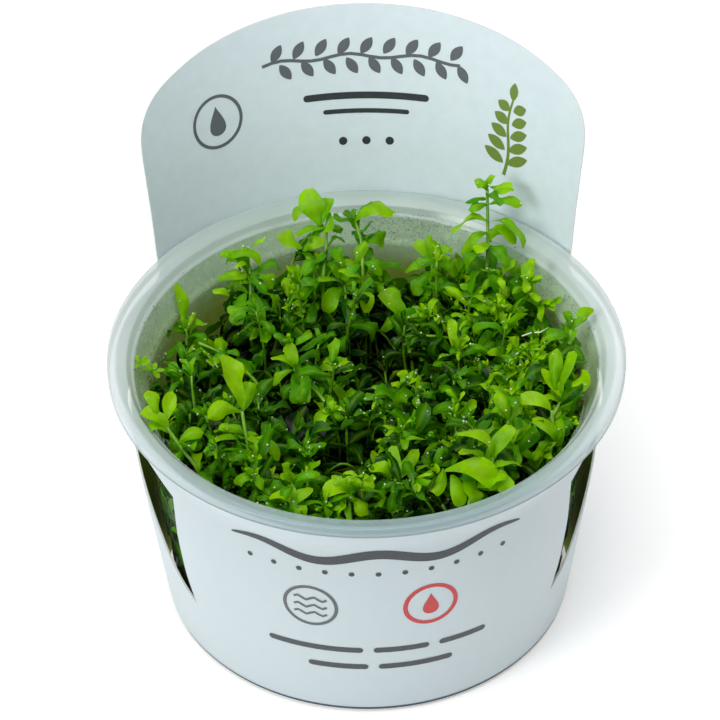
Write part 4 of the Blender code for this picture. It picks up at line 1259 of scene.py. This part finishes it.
def growth_mesh(number, growth, materials):
    """One clump's mesh from its leaves and stems."""
    blades = leaf_arrays(growth.leaves).reshape(-1, LEAF_ROWS * LEAF_COLUMNS, 3)
    if growth.drawn:
        drawn = np.array([points.reshape(-1, 3) for points, _ in growth.drawn])
        blades = np.concatenate([blades, drawn])
    points = blades.reshape(-1, 3)
    faces = leaf_faces(len(blades))
    verts = [points]
    polygons = [tuple(f) for f in faces.tolist()]
    leaf_total = len(points)
    total = leaf_total
    for path, radii in growth.stems:
        v, f = tube(path, radii, STEM_SIDES)
        verts.append(np.array(v))
        polygons += [tuple(k + total for k in face) for face in f]
        total += len(v)
    verts = held_in(np.concatenate(verts))
    name = f"growth_{number + 1:02d}"
    obj = add_piece(name, verts.tolist(), polygons, materials)
    stem_index = np.zeros(len(polygons), np.int32)
    stem_index[len(faces):] = 1
    obj.data.polygons.foreach_set("material_index", stem_index)
    s, w = leaf_places()
    ages = np.array([leaf[-1] for leaf in growth.leaves] + [age_and_shade for _, age_and_shade in growth.drawn])
    along_leaf = np.repeat(0.06 - 0.12 * s, LEAF_COLUMNS)
    age_and_shade = np.full(total, STEM_AGE, np.float32)
    age_and_shade[:leaf_total] = np.clip(ages[:, None] + along_leaf[None, :], 0.0, 1.0).ravel()
    rib = np.zeros(total, np.float32)
    rib[:leaf_total] = np.tile(np.tile(RIB_PALENESS * (np.abs(w) < 0.1), LEAF_ROWS), len(blades))
    for label, values in (("age_and_shade", age_and_shade), ("rib", rib)):
        layer = obj.data.attributes.new(label, "FLOAT", "POINT")
        layer.data.foreach_set("value", values)
    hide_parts(f"clump_{number + 1:02d}")
    return blades


def held_to(x, y, limit):
    """A flat point, drawn in to a radius where it lies further out."""
    far = math.hypot(x, y)
    return (x * (limit / far), y * (limit / far)) if far > limit else (x, y)


def random_place(rng, reach):
    """A point anywhere on a disc."""
    r = reach * math.sqrt(rng.random())
    return polar(r, rng.uniform(0.0, 2.0 * math.pi))


def grow_filler(clumps, rng, k):
    """One of the shoots that fill the cup evenly, at its place on a sunflower spiral."""
    x, y = polar(FILLER_REACH_R * math.sqrt((k + 0.5) / FILLERS), k * GOLDEN)
    x += rng.uniform(-1.2, 1.2)
    y += rng.uniform(-1.2, 1.2)
    x, y = held_to(x, y, FILLER_REACH_R)
    rough = 4.0 * math.sin(0.55 * x + 0.8) * math.sin(0.5 * y - 0.4)
    top = canopy(x, y) + rough + rng.uniform(-8.0, 6.5)
    lean = abs(rng.gauss(0.0, 5.0))
    way = rng.uniform(0.0, 2.0 * math.pi)
    limit = inner_radius(min(top, SHOULDER_H)) - 1.6
    tip = held_to(x + lean * math.cos(way), y + lean * math.sin(way), limit)
    grow_shoot(clumps[clump_of(x, y)], rng, Vector((x, y, ROOTED_H)), Vector((*tip, top)),
               rng.uniform(0.0, 2.0 * math.pi), rng.uniform(*FILLER_LEAF), rng.uniform(*FILLER_AGE),
               rng.uniform(*FILLER_GAP), rng.uniform(*FILLER_HOOK))


def grow_bright(clumps, rng, start, end, near, far):
    """A young shoot that stands above the others, somewhere in a spell of them."""
    a = math.radians(rng.uniform(start, end))
    x, y = polar(rng.uniform(near, far), a)
    top = canopy(x, y) + rng.uniform(1.0, 8.0)
    grow_shoot(clumps[clump_of(x, y)], rng, Vector((x, y, ROOTED_H)),
               Vector((x + rng.uniform(-2.0, 2.0), y + rng.uniform(-2.0, 2.0), top)),
               rng.uniform(0.0, 2.0 * math.pi), rng.uniform(*BRIGHT_LEAF), rng.uniform(*BRIGHT_AGE),
               rng.uniform(*BRIGHT_GAP), rng.uniform(*BRIGHT_HOOK))


def make_growth():
    """All shoots: the tall ones as listed, the rest spread evenly between them."""
    rng = random.Random(7)
    clumps = [Growth() for _ in range(sum(count for _, _, count in RINGS))]
    axes = camera_axes()
    for at, foot, stem, leaves in HEROES:
        grow_hero(clumps[clump_of(*foot)], rng, at, foot, stem, leaves, axes)
    for k, (bx, by, tx, ty, tz, heading, length) in enumerate(SHOOTS):
        start = Vector((bx, by, ROOTED_H))
        tip = Vector((tx, ty, min(tz, CUT_BACK_H) if k in DRAWN_SHOOTS else tz))
        grow_shoot(clumps[clump_of(bx, by)], rng, start, tip, math.radians(heading), length, LEADING_AGE,
                   LEADING_GAP)
    for k in range(FILLERS):
        grow_filler(clumps, rng, k)
    for start, end, near, far, count in BRIGHT_SPELLS:
        for k in range(count):
            grow_bright(clumps, rng, start, end, near, far)
    for k in range(ARCHES):
        x, y = random_place(rng, ARCHES_R)
        grow_arch(clumps[clump_of(x, y)], rng, x, y)
    for x, y, h in FRAGMENTS:
        grow_fragment(clumps[clump_of(x, y)], rng, x, y, h)
    for k in range(WALL_LEAVES):
        azimuth = rng.uniform(0.0, 2.0 * math.pi)
        grow_wall_leaf(clumps[clump_of(*polar(WALL_LEAF_R, azimuth))], rng, azimuth)
    stem_finish = mottled("pearlweed_stem", 0.3, 0.7, linear(78, 136, 14), linear(124, 174, 36),
                          260.0, 2.0, Roughness=0.3)
    materials = [leaf_material(), stem_finish]
    blades = [growth_mesh(number, growth, materials) for number, growth in enumerate(clumps)]
    make_droplets(np.concatenate(blades), rng)


def bead_shape():
    """Points and faces of a small ball."""
    work = bmesh.new()
    bmesh.ops.create_icosphere(work, subdivisions=1, radius=1.0)
    work.verts.index_update()
    points = np.array([v.co[:] for v in work.verts])
    faces = [tuple(v.index for v in f.verts) for f in work.faces]
    work.free()
    return points, faces


def bead_mesh(name, spots, finish):
    """Many small balls as one mesh. Each spot is a centre and the ball's reach in three directions."""
    ball, ball_faces = bead_shape()
    verts = []
    faces = []
    for centre, reach in spots:
        start = len(verts)
        verts += (ball @ np.array(reach) + np.array(centre)).tolist()
        faces += [tuple(start + k for k in f) for f in ball_faces]
    add_piece(name, verts, faces, [finish])


def make_droplets(blades, rng):
    """Tiny drops of water on the upper leaves, coloured near-white as painted glints."""
    high = blades[blades[:, LEAF_COLUMNS * 4, 2] > DROPLET_LOWEST_H]
    spots = []
    for k in range(DROPLETS):
        leaf = high[rng.randrange(len(high))]
        point = leaf[rng.randrange(2, LEAF_ROWS - 1) * LEAF_COLUMNS + rng.randrange(1, 4)]
        size = rng.uniform(*DROPLET_SIZE)
        spots.append(((point[0], point[1], point[2] + 0.5 * size), np.eye(3) * size))
    # Near-white, mostly opaque drops: painted glints
    finish, _, _ = new_material("leaf_droplet_painted_glint", Base_Color=linear(236, 246, 226), Roughness=0.04,
                                IOR=WATER_IOR, Alpha=0.7, Coat_Weight=1.0, Coat_Roughness=0.02)
    bead_mesh("leaf_droplets", spots, finish)


def make_beads():
    """Condensation on the wall's inside: a fine spray behind, larger beads at the left and right."""
    rng = random.Random(5)
    spots = []
    beads = []
    for count, middle, spread, low, high, small, large in SPRAYS:
        for k in range(count):
            spots.append((rng.gauss(middle, spread), rng.uniform(low, high), rng.uniform(small, large)))
    for k in range(LOOSE_BEADS):
        spots.append((rng.uniform(0.0, 360.0), rng.uniform(38.0, 56.3), rng.uniform(0.1, 0.26)))
    for degrees, h, size in spots:
        a = math.radians(degrees)
        r = inner_radius(h) - 0.02
        out = np.array([*polar(1.0, a), 0.0])
        side = np.array([-math.sin(a), math.cos(a), 0.0])
        up = np.array([0.0, 0.0, 1.0])
        reach = [out * size * 0.6, side * size, up * size * rng.uniform(1.0, 1.3)]
        beads.append((out * r + up * h, reach))
    finish, _, _ = new_material("water_bead", Base_Color=linear(150, 168, 150), Roughness=0.03,
                                IOR=WATER_IOR, Alpha=0.35, Coat_Weight=1.0, Coat_Roughness=0.02)
    bead_mesh("condensation", beads, finish)


def make_roots():
    """Thin white roots: a few in the air between the stems, many in the gel."""
    rng = random.Random(3)
    verts = []
    faces = []
    paths = [[(22.5, 27.0, 52.0), (22.0, 27.2, 49.0), (21.2, 26.8, 46.0), (21.4, 26.0, 43.5)],
             [(23.5, 26.0, 51.0), (25.0, 25.4, 48.5), (25.4, 25.2, 46.0), (26.4, 24.8, 43.0)],
             [(31.0, 9.0, 52.4), (32.8, 9.6, 52.6), (34.6, 9.0, 53.2), (36.2, 9.4, 54.0)]]
    def wander(value):
        moved = value + rng.gauss(0.0, 1.0)
        return min(max(moved, -ROOTS_REACH), ROOTS_REACH) if abs(value) > ROOTS_REACH else moved

    for k in range(ROOTS_IN_GEL):
        x, y = random_place(rng, 36.0)
        path = []
        for j in range(6):
            path.append((x, y, GEL_TOP_H + 0.5 - 1.35 * j))
            x = wander(x)
            y = wander(y)
        paths.append(path)
    for path in paths:
        v, f = tube([Vector(p) for p in path], [0.16] * (len(path) - 1) + [0.06], 5)
        faces += [tuple(k + len(verts) for k in face) for face in f]
        verts += v
    finish = mottled("pearlweed_root", 0.3, 0.7, linear(206, 212, 180), linear(240, 242, 222),
                     500.0, 3.0, Roughness=0.5)
    add_piece("roots", verts, faces, [finish])


# Stage


def make_stage():
    """White floor and backdrop, soft light from upper left, and a camera at the photograph's angle."""
    mesh = bpy.data.meshes.new("floor")
    corners = [(x * FLOOR_REACH, y * FLOOR_REACH, 0) for x, y in ((-1, -1), (1, -1), (1, 1), (-1, 1))]
    mesh.from_pydata(corners, [], [(0, 1, 2, 3)])
    floor = bpy.data.objects.new("floor", mesh)
    bpy.context.scene.collection.objects.link(floor)
    white = (1.0, 1.0, 1.0, 1.0)
    paint, _, _ = new_material("white_floor", Base_Color=(0.95, 0.95, 0.95, 1.0), Roughness=0.9,
                               Emission_Color=white, Emission_Strength=FLOOR_GLOW)
    mesh.materials.append(paint)

    world = bpy.data.worlds.new("studio")
    world.use_nodes = True
    bpy.context.scene.world = world
    sky = world.node_tree.nodes["Background"]
    sky.inputs["Color"].default_value = white
    sky.inputs["Strength"].default_value = WORLD_LIGHT
    bpy.context.scene.view_settings.view_transform = "Standard"

    for name, place, size, power in LAMPS:
        data = bpy.data.lights.new(name, "AREA")
        data.shape = "DISK"
        data.size = size
        data.energy = power
        lamp = bpy.data.objects.new(name, data)
        lamp.location = place
        aim = Vector(LAMP_AIM) - Vector(place)
        lamp.rotation_euler = aim.to_track_quat("-Z", "Y").to_euler()
        bpy.context.scene.collection.objects.link(lamp)

    data = bpy.data.cameras.new("camera")
    data.lens = CAMERA_LENS
    data.sensor_width = 36.0
    data.clip_start = 0.02
    data.clip_end = 50.0
    camera = bpy.data.objects.new("camera", data)
    turn = math.radians(CAMERA_TURN)
    rise = math.radians(CAMERA_ELEVATION)
    out = CAMERA_DISTANCE * math.cos(rise)
    camera.location = Vector((-out * math.sin(turn), -out * math.cos(turn),
                              CUP_HEIGHT + CAMERA_DISTANCE * math.sin(rise))) * MM
    camera.rotation_euler = camera_axes().to_euler()
    bpy.context.scene.collection.objects.link(camera)
    bpy.context.scene.camera = camera


make_stage()
# A darker copy of the plastic for the skirt's lower edge: painted shade
skirt_painted_shade, _, _ = new_material("clear_plastic_painted_shade", Base_Color=linear(132, 152, 154), Roughness=0.2,
                                IOR=PLASTIC_IOR, Alpha=0.8)
make_cup(plastic_wall(), plastic_flange(), skirt_painted_shade)
make_sleeve(card_face("coated_card", linear(189, 202, 206)), card_back(),
            card_face("card_edge", linear(228, 232, 230)))
make_front_print()
make_header_print()
make_gel(mottled("culture_gel", 0.3, 0.7, linear(216, 218, 190), linear(234, 235, 214), 90.0, 4.0,
                 Roughness=0.12, Alpha=0.65, IOR=GEL_IOR))
make_growth()
make_beads()
make_roots()
